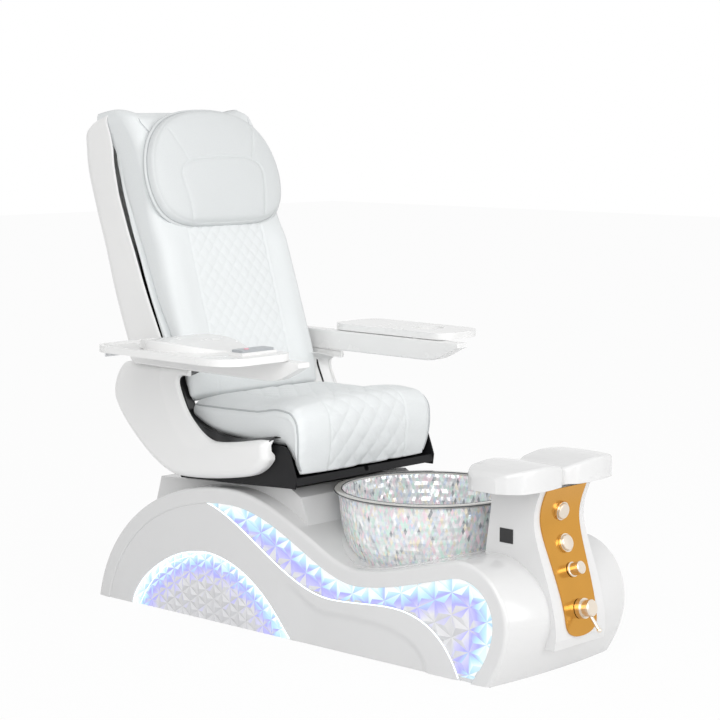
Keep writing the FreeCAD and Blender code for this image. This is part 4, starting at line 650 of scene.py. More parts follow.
def inflated(grid, cap, pressure=4.0):
    """How far each point of a padded grid moves when its cover is blown up: a cloth simulation of a coarse
    copy over frames 1 to 20 without gravity, each move limited to cap, read back onto the fine grid by its
    two parameters."""
    rows, cols = grid.shape[:2]
    row = np.unique(np.linspace(0, rows - 1, min(rows, COARSE_ROWS)).round().astype(int))
    half = np.linspace(0, cols // 2, min(cols // 2 + 1, COARSE_HALF))
    half = np.unique(half.round().astype(int))
    col = np.concatenate([half, (cols - half[1:-1])[::-1] % cols])
    coarse = grid[np.ix_(row, col)]
    points, faces = closed_skin(coarse)
    cover = add_object("Cover", add_mesh("Cover", points, faces))
    cloth = cover.modifiers.new("Cloth", "CLOTH")
    settings = cloth.settings
    settings.quality, settings.mass = 6, 0.3
    settings.tension_stiffness = settings.compression_stiffness = 20
    settings.use_pressure, settings.uniform_pressure_force = True, pressure
    settings.effector_weights.gravity = 0
    cloth.point_cache.frame_start, cloth.point_cache.frame_end = 1, LAST_FRAME
    scene = bpy.context.scene
    for number in range(1, LAST_FRAME + 1):
        scene.frame_set(number)
    puffed = cover.evaluated_get(bpy.context.evaluated_depsgraph_get()).to_mesh()
    flat = np.empty(len(puffed.vertices) * 3)
    puffed.vertices.foreach_get("co", flat)
    move = (flat.reshape(-1, 3) / MM - points).reshape(coarse.shape)
    scene.frame_set(1)
    bpy.data.objects.remove(cover)
    size = np.linalg.norm(move, axis=2)[..., None]
    move *= np.minimum(size, cap) / np.maximum(size, 1e-9)
    around = hats(np.arange(cols), np.r_[col, cols])
    around[:, 0] += around[:, -1]
    return np.einsum("ir,rck,jc->ijk", hats(np.arange(rows), row), move, around[:, :-1], optimize=True)


def diamonds(across, along, sizes):
    """Quilting, from 0 on a stitched line to 1 in a diamond's middle: (|sin pi a| |sin pi b|)^0.36, where a
    and b are across / width plus and minus along / height."""
    a = across / (sizes.quilt_width / MM) + along / (sizes.quilt_height / MM)
    b = across / (sizes.quilt_width / MM) - along / (sizes.quilt_height / MM)
    return (np.abs(np.sin(np.pi * a)) * np.abs(np.sin(np.pi * b))) ** 0.36


def seam(distance, width, depth):
    """A sewn channel: -depth exp(-(distance / width)^2)."""
    return -depth * np.exp(-(distance / width) ** 2)


def make_finishes(colours):
    """Every finish of the chair, by its material slot or its own name."""
    white, panel, hide = tuple(colours.shell), tuple(colours.panels), tuple(colours.upholstery)
    moulded("gelcoat_white", white, 0.2, 90.0, 0.35)
    moulded("panel_white", panel, 0.34, 700.0, 0.1)
    moulded("tray_white", panel, 0.26, 300.0, 0.2)
    leather("leather_white", hide)
    # Painted shade: the pillow's leather is a darker copy of the same white leather.
    leather("leather_pillow_shaded", tone(hide, 0.87))
    # The grey of the seat's piping, also used for the thin cords that paint the shadow lines of the ear and
    # pillow seams.
    leather("piping_grey", tuple(colours.piping))
    lit_facets("light_panel", tuple(colours.glow_edge), tuple(colours.glow_middle), (0.80, 0.80, 0.815, 1.0))
    light_line("light_strip", (0.82, 0.95, 1.0), 1.0)
    cut_crystal("crystal", (0.93, 0.95, 0.96, 1.0))
    moulded("crystal_rim", (0.56, 0.55, 0.52), 0.14, 90.0, 0.8)
    moulded("crystal_edge", (0.055, 0.06, 0.07), 0.16, 200.0, 0.6)
    metal("gold", tuple(colours.gold), 0.15, (1, 1, 30))
    metal("champagne", (0.80, 0.72, 0.62), 0.3, (1, 1, 1), 900.0)
    powder_coat("black_steel", (0.012, 0.012, 0.013))
    metal("grey_steel", (0.42, 0.43, 0.45), 0.42, (1, 24, 1))
    metal("chrome", (0.82, 0.83, 0.85), 0.08)
    metal("brass", (0.72, 0.50, 0.22), 0.28, (1, 18, 1))
    moulded("black_plastic", (0.014, 0.014, 0.015), 0.32, 800.0)
    moulded("grey_plastic", (0.30, 0.31, 0.32), 0.42, 800.0)
    powder_coat("rubber", (0.02, 0.02, 0.02), 0.75)
    moulded("remote_grey", (0.42, 0.44, 0.46), 0.35, 900.0)
    moulded("key_pink", (0.85, 0.42, 0.50), 0.3, 500.0, 0.3)


def finish_of(name):
    """A finish by name; the first call makes them all."""
    if f"{name}_finish" not in bpy.data.materials:
        make_finishes(bpy.context.scene.spa_chair_colours)
    return bpy.data.materials[f"{name}_finish"]


def lattice(first, pitch, counts, depths):
    """Triangular lattice on the flank, each triangle as three facets up to a peak over its middle. Column i
    stands at first y + i pitch y, and every other column is raised by half of pitch z. Gives the points in
    the plane, the depth of each and the facets."""
    i, j = np.meshgrid(np.arange(counts[0]), np.arange(counts[1]), indexing="ij")
    plane = np.stack([first[0] + i * pitch[0], first[1] + (j + 0.5 * (i % 2)) * pitch[1]], axis=-1)
    plane = plane.reshape(-1, 2)
    i, j = i[:-1, :-1].ravel(), j[:-1, :-1].ravel()
    here, up = i * counts[1] + j, i * counts[1] + j + 1
    beyond, beyond_up = here + counts[1], up + counts[1]
    even = i % 2 == 0
    one = np.stack([here, up, np.where(even, beyond, beyond_up)], axis=1)
    two = np.stack([beyond, beyond_up, np.where(even, up, here)], axis=1)
    threes = np.vstack([one, two])
    middle = plane[threes].mean(axis=1)
    peak = len(plane) + np.arange(len(threes))
    facets = np.vstack([np.stack([threes[:, k], threes[:, (k + 1) % 3], peak], axis=1) for k in range(3)])
    depth = np.r_[np.full(len(plane), depths[0]), np.full(len(middle), depths[1])]
    plane = np.vstack([plane, middle])
    plane[:, 1] = np.maximum(plane[:, 1], FLOOR_GAP)
    return plane, depth, facets


def window_pieces(kind, shape, region, edge, reach):
    """A light panel on each flank: the lattice's facets that touch the region, sunk behind the border
    outside it, with a glow of 0.12 + 0.88 exp(-(distance to the lit edge / reach)^1.6), a little more on
    the peaks, and a facet number that is painted shade from the way that the facet faces, with a little
    chance."""
    plane, depth, facets = lattice(*shape)
    corners = plane[facets]
    middle = corners.mean(axis=1)
    one, two = corners[:, 1] - corners[:, 0], corners[:, 2] - corners[:, 0]
    near = within(middle, region) | (nearest(middle, region) < shape[1][1] * 0.42)
    near &= np.abs(one[:, 0] * two[:, 1] - one[:, 1] * two[:, 0]) > 4
    facets, middle = facets[near], middle[near]
    spots = region[np.linalg.norm(plane[:, None] - region[None], axis=2).argmin(axis=1)]
    away = np.linalg.norm(plane - spots, axis=1)
    outside = ~within(plane, region) & (away > 6)
    depth = np.where(outside, PLATE_DEPTH - 0.1, depth)
    pull = np.where(outside, np.minimum(1, 30 / np.maximum(away, 1)), 1)[:, None]
    plane = np.maximum(spots + (plane - spots) * pull, (-900, FLOOR_GAP))
    used, facets = np.unique(facets, return_inverse=True)
    facets = facets.reshape(-1, 3)
    plane, depth, peaks = plane[used], depth[used], used >= shape[2][0] * shape[2][1]
    glow = 0.12 + 0.88 * np.exp(-(nearest(plane, edge) / reach) ** 1.6) + 0.05 * peaks
    way = middle - plane[facets[:, 2]]
    angle = np.arctan2(way[:, 1], way[:, 0])
    for (word, side), seed in zip(SIDES, (7, 8)):
        piece = build(f"{kind}_{word}_facets", [(on_side(plane, depth, side), facets.tolist())], "base",
                      "light_panel", (f"{kind}_light_panel_{word}",), angle=1.0, weld=0.0001)
        mark(piece.data, "glow", glow)
        chance = np.random.default_rng(seed)
        # Painted shade: facets that face one way in the plane get a higher number and show lighter, and those
        # facing the other way show darker; the chance part is random.
        facet = 0.5 + 0.4 * np.cos(angle - 0.9) + chance.uniform(-0.22, 0.22, len(middle))
        mark(piece.data, "facet", facet, "FACE")


def flank_plates(node, plane, depth):
    """A closed plate on each flank, from a grid of plane points, the depth of each and a flat back."""
    for word, side in SIDES:
        front, back = on_side(plane, depth, side), on_side(plane, PLATE_DEPTH, side)
        ring = np.concatenate([front, back[:, ::-1]], axis=1)
        build(f"{node}_{word}_moulding", [sheet(ring, round_cols=True, close_ends=True)], "base",
              "gelcoat_white", (f"{node}_{word}",), angle=EDGE_ANGLE)


def length(label, text, default):
    """A length in metres that a user may change."""
    return bpy.props.FloatProperty(name=label, description=text, default=default, unit="LENGTH")


def colour(label, text, *default):
    """A colour that a user may change."""
    return bpy.props.FloatVectorProperty(
        name=label, description=text, default=(*default, 1.0), size=4, subtype="COLOR")


class SpaChairSizes(bpy.types.PropertyGroup):
    """Sizes of the chair's trim and padding that a user may change."""

    piping_radius: length("Piping radius", "Radius of the sewn-in cord along the cushions' seams", 0.0026)
    quilt_width: length("Quilt width", "Width of one sewn diamond", 0.065)
    quilt_height: length("Quilt height", "Length of one sewn diamond", 0.075)
    quilt_depth: length("Quilt depth", "How deep the stitching pulls the leather in", 0.0046)
    facet_width: length("Facet width", "Width of one facet of the light panels", 0.0575)
    bowl_cuts: bpy.props.IntProperty(
        name="Bowl cuts", description="Facets round the crystal bowl", default=168)
    puff: length("Puff", "Furthest that the padding swells", 0.009)


class SpaChairColours(bpy.types.PropertyGroup):
    """Colours of the chair that a user may change."""

    shell: colour("Shell", "Gelcoat of the base", 0.71, 0.71, 0.71)
    panels: colour("Panels", "Moulded side panels and back shell", 0.85, 0.85, 0.845)
    upholstery: colour("Upholstery", "Leather of the cushions", 0.80, 0.825, 0.83)
    # Also the colour of the painted shadow lines along the ear and pillow seams.
    piping: colour("Piping", "Leather of the piping", 0.50, 0.52, 0.53)
    gold: colour("Gold", "Polished control plate", 0.66, 0.33, 0.065)
    glow_edge: colour("Glow at the edge", "Light along the windows' edges", 0.55, 0.86, 1.0)
    glow_middle: colour("Glow further in", "Light further inside the windows", 0.47, 0.46, 1.0)


class SPACHAIR_OT_flanks(bpy.types.Operator):
    """Adds the raised wave border and the wave skin with its shallow scoop on both flanks"""

    bl_idname = "spa_chair.flanks"
    bl_label = "Wave border and skin"

    def execute(self, context):
        hull = above(outline(HULL, 700))
        inner = np.vstack([offset(hull, BORDER_WIDTH), [BORDER_TOE]])
        inner[:, 1] = np.maximum(inner[:, 1], FLOOR_GAP)
        hull = np.vstack([hull, hull[-1:] + (0.3, 0.0)])
        plane = ruled(hull, inner, 26)
        depth = sum(rolled(nearest(plane, line), roll) for line, roll in zip((hull, inner), BORDER_ROLLS))
        flank_plates("side_border", plane, depth)
        self.skin(inner)
        return {"FINISHED"}

    def skin(self, border):
        """The skin's grid runs from the border and the ribbon's lower edge to the half moon and the floor."""
        lower = above(outline(RIBBON_LOWER, 400))
        first = np.linalg.norm(border - lower[0], axis=1).argmin()
        high = np.vstack([border[:first], lower])
        turn = np.abs(high[:, 0] - 40).argmin()
        arc = np.clip(smooth_line(MOON, 300), (-900, FLOOR_GAP), (900, 900))
        ground = np.stack([np.linspace(arc[-1, 0] - 2, -520, 200), np.full(200, FLOOR_GAP)], axis=1)
        outer, inner = (np.vstack([evenly(one, 190), evenly(two, 230)[1:]])
                        for one, two in ((high[:turn + 1], high[turn:]), (arc, ground)))
        plane = ruled(outer, inner, 44)
        edge = np.minimum(nearest(plane, high), nearest(plane, arc))
        scoop = smooth_line(SCOOP, 120)
        inside = within(plane, np.vstack([scoop, [(-445.0, -60.0), (105.0, -60.0)]]))
        hollow = SCOOP_DEPTH * inside * step(0, 26, nearest(plane, scoop)) * step(120, -30, plane[..., 0])
        flank_plates("wave_skin", plane, SKIN_DEPTH + np.maximum(rolled(edge, SKIN_ROLL), hollow))
        beads = [tube(on_side(border[:first], SKIN_DEPTH + 0.2, side), 2.0, 8) for _, side in SIDES]
        build("border_beads", beads, "base", "gelcoat_white")


class SPACHAIR_OT_nodes(bpy.types.Operator):
    """Gives every CAD node that stays in view the finish of its slot"""

    bl_idname = "spa_chair.nodes"
    bl_label = "Finish the nodes"

    def execute(self, context):
        slots = {entry["node"]: entry["material_slot"] for entry in frame["record"]["subparts"]}
        for name, node in frame["nodes"].items():
            material = finish_of(slots[name])
            for place in node.material_slots:
                place.material = material
        return {"FINISHED"}


class SPACHAIR_OT_light_panels(bpy.types.Operator):
    """Adds the faceted ribbon and half-moon windows with the light lines along their edges"""

    bl_idname = "spa_chair.light_panels"
    bl_label = "Light panels"

    def execute(self, context):
        width = context.scene.spa_chair_sizes.facet_width / MM
        lower = outline(RIBBON_LOWER, 260)
        upper = self.upper_edge(offset(outline(HULL, 900), BORDER_WIDTH), lower)
        arc, inner_arc = smooth_line(MOON, 200), smooth_line(MOON_INNER, 90)
        ribbon = (-628.0 - width, -40.0), (width, width * 1.04), (int(1100 / width) + 2, 9), RIBBON_DEPTHS
        moon = (40.0, -22.0), (width * 0.575, width * 0.765), (int(740 / width / 0.575), 7), MOON_DEPTHS
        window_pieces("ribbon", ribbon, np.vstack([lower, upper[::-1]]), upper, RIBBON_REACH)
        window_pieces("moon", moon, arc, arc, MOON_REACH)
        lines = []
        for _, side in SIDES:
            for line, inset, radius in ((lower, 2.2, 2.2), (arc, 2.0, 1.7), (inner_arc, 0.0, 0.9),
                                        (upper, -2.0, 1.6)):
                lines.append(tube(on_side(above(offset(line, inset), 3.0), LIGHT_DEPTH, side), radius, 10))
        build("light_lines", lines, "base", "light_strip", ("light_strips",))
        return {"FINISHED"}

    def upper_edge(self, inner, lower):
        """The stretch of the border's inner line between the ribbon's two ends."""
        first = np.linalg.norm(inner - lower[0], axis=1).argmin()
        last = np.abs(inner[:, 1] - lower[-1, 1])[inner[:, 0] < -400].argmin()
        last += int((inner[:, 0] >= -400).sum())
        return inner[first:last + 1]


class SPACHAIR_OT_bowl(bpy.types.Operator):
    """Adds the cut-crystal bowl with its flat rim, the dark lines on its edges and the lip of its well"""

    bl_idname = "spa_chair.bowl"
    bl_label = "Crystal bowl"

    def execute(self, context):
        count = context.scene.spa_chair_sizes.bowl_cuts
        outer = evenly(np.array(BOWL_OUTSIDE, float), 37)
        inner = evenly(np.array(BOWL_INSIDE, float), 35)
        walls = [self.cut_wall(outer, count, CUT_LIFT), self.cut_wall(inner, count, -CUT_LIFT)]
        bowl = build("crystal_bowl", [wall[:2] for wall in walls], "base", "crystal", ("glass_bowl",),
                     angle=1.0)
        mark(bowl.data, "facet", np.concatenate([wall[2] for wall in walls]), "FACE")
        angle = circle(32)
        across, high = (np.sign(wave) * np.abs(wave) ** 0.5 for wave in (np.cos(angle), np.sin(angle)))
        rim = np.stack([RIM_MIDDLE[0] + RIM_HALF[0] * across, RIM_MIDDLE[1] + RIM_HALF[1] * high], axis=1)
        build("bowl_rim", [lathe(rim)], "base", "crystal", finish="crystal_rim")
        lines = []
        for radius, level, wide in ((244.4, 430.6, 1.7), (265.2, 427.5, 1.9), (258.0, 423.2, 1.5)):
            ring = np.stack([radius + wide * np.cos(angle), level + wide * np.sin(angle)], axis=1)
            lines.append(lathe(ring[::3]))
        build("bowl_rim_lines", lines, "base", "crystal", finish="crystal_edge")
        self.lip(outer)
        return {"FINISHED"}

    def cut_wall(self, profile, count, lift):
        """Diamond-cut wall: (r cos a, r sin a, z) with every other ring turned half a facet and r plus
        lift on every other ring and a little chance, so that each cell is two flat triangles. The two
        triangles on both sides of a ring's edge share one facet number, as one diamond."""
        rows = len(profile)
        odd = (np.arange(rows) % 2)[:, None]
        angle = (np.arange(count)[None, :] + 0.5 * odd) * 2 * np.pi / count
        steep = step(60, 150, profile[:, :1])
        chance = np.random.default_rng(rows)
        uneven = chance.uniform(-CUT_CHANCE, CUT_CHANCE, (rows, count)) * steep
        grid = round_well(profile[:, :1] + lift * odd * steep + uneven, angle, profile[:, 1:])
        cells = quads(rows, count, round_cols=True)
        odd = (cells[:, :1] // count) % 2
        one = np.where(odd, cells[:, [0, 1, 2]], cells[:, [0, 1, 3]])
        two = np.where(odd, cells[:, [0, 2, 3]], cells[:, [1, 2, 3]])
        diamond = chance.random((rows, count))
        number = np.concatenate([diamond[:-1].ravel(), diamond[1:].ravel()])
        number = np.clip(number + chance.uniform(-0.05, 0.05, len(number)), 0, 1)
        return grid.reshape(-1, 3), np.vstack([one, two]).tolist(), number

    def lip(self, profile):
        """Ring between the bowl and the edge of its well, 1 mm under the deck that follows the wave."""
        wave = outline(HULL, 900)
        wave = wave[:wave[:, 0].argmin()][::-1]
        angle = circle(180)
        level = np.interp(WELL_Y + (WELL_RADIUS - 2) * np.sin(angle), *wave.T) + WELL_LIP
        bowl = np.interp(level, profile[:, 1], profile[:, 0])
        rings = ((bowl - 1, level - 3), (bowl - 1, level - 0.5), (WELL_RADIUS, level), (WELL_RADIUS, level - 3))
        grid = np.stack([round_well(radius, angle, height) for radius, height in rings])
        build("well_lip", [sheet(grid, round_rows=True, round_cols=True)], "base", "gelcoat_white",
              angle=EDGE_ANGLE)


class SPACHAIR_OT_seat(bpy.types.Operator):
    """Adds the seat cushion with its quilted centre, puckered seams and piping"""

    bl_idname = "spa_chair.seat"
    bl_label = "Seat cushion"

    def execute(self, context):
        sizes = context.scene.spa_chair_sizes
        outer = [(481, 624), (472, 633), (340, 636), (215, 641), (115, 654), (58, 648), (25, 610), (22, 565),
                 (33, 505), (46, 460)]
        inner = [(497, 604), (480, 582), (352, 546.6), (222, 539.6), (136, 540.6), (100, 540.6), (84, 526),
                 (70, 508), (60, 490), (56, 460)]
        half = [256, 271, 274, 274, 274, 274, 274, 273, 266, 248]
        across, quilted = 140, 155.0
        knots = travelled((np.array(outer, float) + inner) / 2)
        stations = eased(np.linspace(0, knots[-1], 170), knots, np.column_stack([outer, inner, half]))
        grid = slab(stations[:, :2], stations[:, 2:4], stations[:, 4], (30.0, 22.0), 13.0, 5.0, across)
        grid = grid + inflated(grid, sizes.puff / MM)
        along = travelled(grid[:, 96])
        x, top = grid[..., 0], upper_run(grid, across)
        quilt = step(quilted, quilted - 4, np.abs(x)) * top
        lift = -sizes.quilt_depth / MM * (1 - diamonds(x, along[:, None], sizes)) * quilt
        lift += seam(np.abs(x) - quilted, 3.0, 3.0) * top
        pucker = np.exp(-((np.arange(grid.shape[1]) - TOP_START + 2.5) / 3.2) ** 2)
        grid = grid + outward(grid) * (lift + np.sin(along / 5.5)[:, None] * pucker * 0.5)[..., None]
        build("seat_padding", [closed_skin(grid)], "seat", "leather_white", ("seat_cushion",), angle=SOFT_ANGLE)
        seams = (grid + outward(grid))[5:-3]
        cords = [tube(evenly(seams[:, column], 150), sizes.piping_radius / MM, 10)
                 for column in (TOP_START - 5, TOP_START + across + 4)]
        build("seat_piping", cords, "seat", "leather_white", finish="piping_grey")
        return {"FINISHED"}


class SPACHAIR_OT_back(bpy.types.Operator):
    """Adds the back cushion with its side wings, quilted centre and seams, and the moulded shell behind"""

    bl_idname = "spa_chair.back"
    bl_label = "Back cushion and shell"

    def execute(self, context):
        self.cushion(context.scene.spa_chair_sizes)
        self.shell()
        return {"FINISHED"}

    def joint(self, at):
        """How deep the line between the cushion's wings and the shell lies at a height u up the back."""
        return eased(at, [84, 250, 413, 552, 670, 763, 835, 900, 991],
                     [-44, -26, -4, 14, 34, 47, 46, 38, 46])

    def cushion(self, sizes):
        """Worked out as (x, u, d) and then leaned back: a slab whose wings reach back to the shell, with a
        groove along each side that opens downwards, and with ears on its two upper corners."""
        u = np.array([84, 100, 250, 411, 600, 760, 880, 950, 985], float)
        front = [-68, -81, -84, -84, -84, -84, -81, -66, -34]
        half = [264, 273, 279, 279, 272, 258, 254, 252, 240]
        across, quilted = 130, 150.0
        at = np.linspace(84, 985, 210)
        front, half = eased(at, u, np.column_stack([front, half])).T
        rear = -25.6 + 0.09 * (at - 400)
        grid = slab(np.stack([at, front], 1), np.stack([at, rear], 1), half, (30.0, 5.0), 7.0, 2.0, across)
        grid = grid + inflated(grid, sizes.puff / MM)
        top = upper_run(grid, across)
        x, up, deep = np.moveaxis(grid, -1, 0)
        front, half, rear = front[:, None], half[:, None], rear[:, None]
        back_share = np.clip((deep - front) / (rear - front), 0, 1)
        joint = self.joint(at)
        wing = step(0.9, 0.985, np.abs(x) / half)
        deep = deep + (joint - rear) * wing * step(0.3, 1, back_share)
        groove = joint - 14 - 8 * step(780, 860, up) - 6 * step(400, 300, up)
        pad = step(2.0, -3.0, deep - groove)
        crease = np.exp(-((deep - groove + 5.0) / 5.0) ** 2)
        x = x * (1 - (9 * pad + 15 * crease) * step(890, 430, up) * step(120, 250, np.abs(x)) / 276)
        ears = step(196, 246, np.abs(x)) * step(868, 980, up)
        deep = deep + ears * (8 + 56 * back_share)
        bolster = step(150, 222, np.abs(x)) * step(90, 200, up) * step(640, 540, up)
        deep = deep - 14 * bolster * step(0.7, 0.1, back_share)
        quilt = step(quilted, quilted - 4, np.abs(x)) * top * step(150, 160, up) * step(640, 632, up)
        lift = -sizes.quilt_depth / MM * 0.7 * (1 - diamonds(x / 0.62, (up - 60) / 0.62, sizes)) * quilt
        lift = lift + seam(np.abs(x) - quilted, 3.0, 2.4) * top * step(650, 630, up)
        ear_seam = evenly(np.array([(243.0, 1000.0), (238.0, 972.0), (224.0, 944.0), (204.0, 904.0),
                                    (186.0, 866.0)]), 40)
        flat = np.stack([np.abs(x), up], axis=-1)
        lift = lift + seam(nearest(flat, ear_seam), 3.0, 4.0) * top * step(0.5, 0.3, back_share)
        up = up + ears * (20 + 24 * back_share)
        grid = np.stack([x, up, deep], axis=-1)
        grid = grid + outward(grid) * lift[..., None]
        leaned = on_back(*np.moveaxis(grid, -1, 0))
        build("back_padding", [closed_skin(leaned)], "back", "leather_white", ("back_cushion",),
              angle=SOFT_ANGLE)
        self.ear_shadow_lines(leaned[:, top], flat[:, top], x[:, top], ear_seam)

    def ear_shadow_lines(self, leaned, flat, x, line):
        """A thin dark cord along each ear's seam, a painted shadow line of the seam; each of its points is the
            front's mean place by the weights exp(-(distance / 4)^2)."""
        cords = []
        for side in (-1, 1):
            mine = x * side > 0
            away = np.linalg.norm(line[:, None] - flat[mine][None], axis=2)
            weight = np.exp(-(away / 4.0) ** 2)
            weight = weight[weight.sum(axis=1) > 0.05]
            cords.append(tube((weight @ leaned[mine]) / weight.sum(axis=1)[:, None], 1.2, 8))
        build("ear_seam_shadows", cords, "back", "leather_white", finish="piping_grey")

    def shell(self):
        """The shell's section at a height u: straight sides from the joint line, quarter turns of radius R
        and a rear that is crowned by 7 (1 - (x / h)^2)."""
        u = np.array([150, 300, 455, 610, 740, 866, 940, 969, 987, 998, 1002], float)
        half = [268, 280, 283, 278, 268, 261, 257, 256, 251, 240, 226]
        rear = [126, 146, 156, 163, 180, 188, 178, 170, 148, 114, 60]
        at = np.concatenate([np.linspace(150, 940, 64), np.linspace(944, 1002, 28)])
        levels = eased(at, u, np.column_stack([half, rear]))
        joint = self.joint(at) - 5
        wide, deep = levels[:, :1], np.maximum(levels[:, 1:], joint + 3)
        r = np.minimum(44.0, (deep - joint) * 0.7)
        turn = np.linspace(0, np.pi / 2, 14)
        side = np.linspace(0, 1, 12)[:-1]
        x = np.concatenate([wide + 0 * side, wide - r * (1 - np.cos(turn))], axis=1)
        d = np.concatenate([joint + (deep - r - joint) * side, deep - r + r * np.sin(turn)], axis=1)
        across = np.linspace(-1, 1, 43)[1:-1]
        x = np.concatenate([-x, across * (wide - r), x[:, ::-1]], axis=1)
        d = np.concatenate([d, deep + 0 * across, d[:, ::-1]], axis=1)
        d = d + 7 * np.clip(1 - (x / wide) ** 2, 0, 1) * step(0, 60, deep - joint)
        shell = build("back_moulding", [sheet(on_back(x, at[:, None], d))], "back", "panel_white",
                      ("back_shell",), angle=EDGE_ANGLE)
        thicken(shell, 4, -1)


class SPACHAIR_OT_pillow(bpy.types.Operator):
    """Adds the head pillow: a plump closed pad with a boxed edge, an embossed middle and piping"""

    bl_idname = "spa_chair.pillow"
    bl_label = "Head pillow"

    def execute(self, context):
        right = [(0, 605), (94, 605), (154, 610), (199, 626), (234, 653), (253, 695), (260, 746), (255, 796),
                 (240, 846), (211, 893), (164, 933), (107, 954), (49, 962), (0, 963)]
        rim = rounded(right + [(-x, up) for x, up in right[-2:0:-1]], 3)
        rim = evenly(np.vstack([rim, rim[:1]]), 361)[:-1]
        middle = np.array([0.0, 786.0])
        r = np.sin(np.linspace(0, np.pi / 2, 72))[:, None]
        plane = middle + (rim - middle) * r[..., None]
        panel = self.embossed()
        distance = nearest(plane, panel)
        lift = seam(distance, 3.4, 2.8) + 1.8 * step(0, 14, distance) * within(plane, panel)
        for sign in (-1, 1):
            line = np.array([(sign * 128.0, 800.0), (sign * 170.0, 900.0)])
            lift = lift + seam(nearest(plane, line), 3.4, 1.8)
        lift = lift + seam((1 - r) * 250 - 9.0, 2.2, 2.2)
        box, dome = (1 - r**26) ** 0.5, (1 - r**2.4) ** 0.8
        front = PILLOW_SEAM - (33.0 * box + 24.0 * dome) - lift
        x, up = plane[..., 0], plane[..., 1]
        grid = np.concatenate([on_back(x, up, front), on_back(x, up, PILLOW_SEAM + 6.0 * box)[::-1][1:]])
        # The pad and its piping wear the darker copy of the leather, painted shade.
        build("head_pad", [sheet(grid, round_cols=True)], "back", "leather_white", ("head_pillow",),
              finish="leather_pillow_shaded", angle=SOFT_ANGLE)
        # The piping is a real cord; the two thin grey cords beside it are painted shadow lines of its stitched
        # grooves.
        for name, finish, radius, loops in (
                ("pillow_piping", "leather_pillow_shaded", 5.0, [(1.014, -93.0)]),
                ("pillow_seam_shadows", "piping_grey", 1.0, [(1.0, -98.6), (1.036, -91.0)])):
            paths = [on_back(*(middle + (rim - middle) * reach).T, level) for reach, level in loops]
            build(name, [tube(path, radius, 10, closed=True) for path in paths], "back", "leather_white",
                  finish=finish)
        return {"FINISHED"}

    def embossed(self):
        """The embossed middle's line: straight below, bowed sides and a rounded top, closed, in (x, u)."""
        right = [(143, 616), (150, 670), (160, 724), (164, 760), (146, 790), (96, 803), (40, 806)]
        line = rounded([(-x, up) for x, up in right[::-1]] + [(-143, 612), (143, 612)] + right, 2)
        return np.vstack([line, line[:1]])


class SPACHAIR_OT_footrest(bpy.types.Operator):
    """Adds the two-lobed footrest with its valley, crowned tops and straight skirts"""

    bl_idname = "spa_chair.footrest"
    bl_label = "Footrest"

    def execute(self, context):
        share = np.array([0, 0.07, 0.16, 0.5, 0.8, 0.94, 1.0])
        front = [-680, -686, -699, -706, -696, -664, -636]
        rear = [-512, -512, -512, -514, -518, -532, -556]
        top = [546, 548, 556, 565, 561, 551, 539]
        half, low, radius = 226, 501.0, 10.0
        spread = np.sin(np.linspace(0, np.pi / 2, 70)) * half
        x = np.concatenate([-spread[::-1], spread[1:]])
        station = eased(np.abs(x) / half, share, np.column_stack([front, rear, top]))
        front, rear, top = station.T[:, :, None]
        skirt = np.linspace(0, 1, 5)[:-1]
        turn = np.linspace(0, np.pi / 2, 10)
        inset = np.r_[0 * skirt, radius * (1 - np.cos(turn))]
        drop = (top - radius - low) * np.r_[1 - skirt, 0 * turn]
        side = top - radius - drop + radius * np.r_[0 * skirt, np.sin(turn)]
        across = np.linspace(0, 1, 28)[1:-1]
        near, far = front + inset, rear - inset
        middle = near[:, -1:] + (far[:, -1:] - near[:, -1:]) * across
        crown = top + 2.4 * np.sin(np.pi * across)
        y = np.concatenate([near, middle, far[:, ::-1]], axis=1)
        z = np.concatenate([side, crown, side[:, ::-1]], axis=1)
        grid = np.stack(np.broadcast_arrays(x[:, None], y, z), axis=-1)
        build("footrest_pads", [sheet(grid, round_cols=True, close_ends=True)], "footrest_top",
              "gelcoat_white", ("footrest",), angle=EDGE_ANGLE)
        return {"FINISHED"}


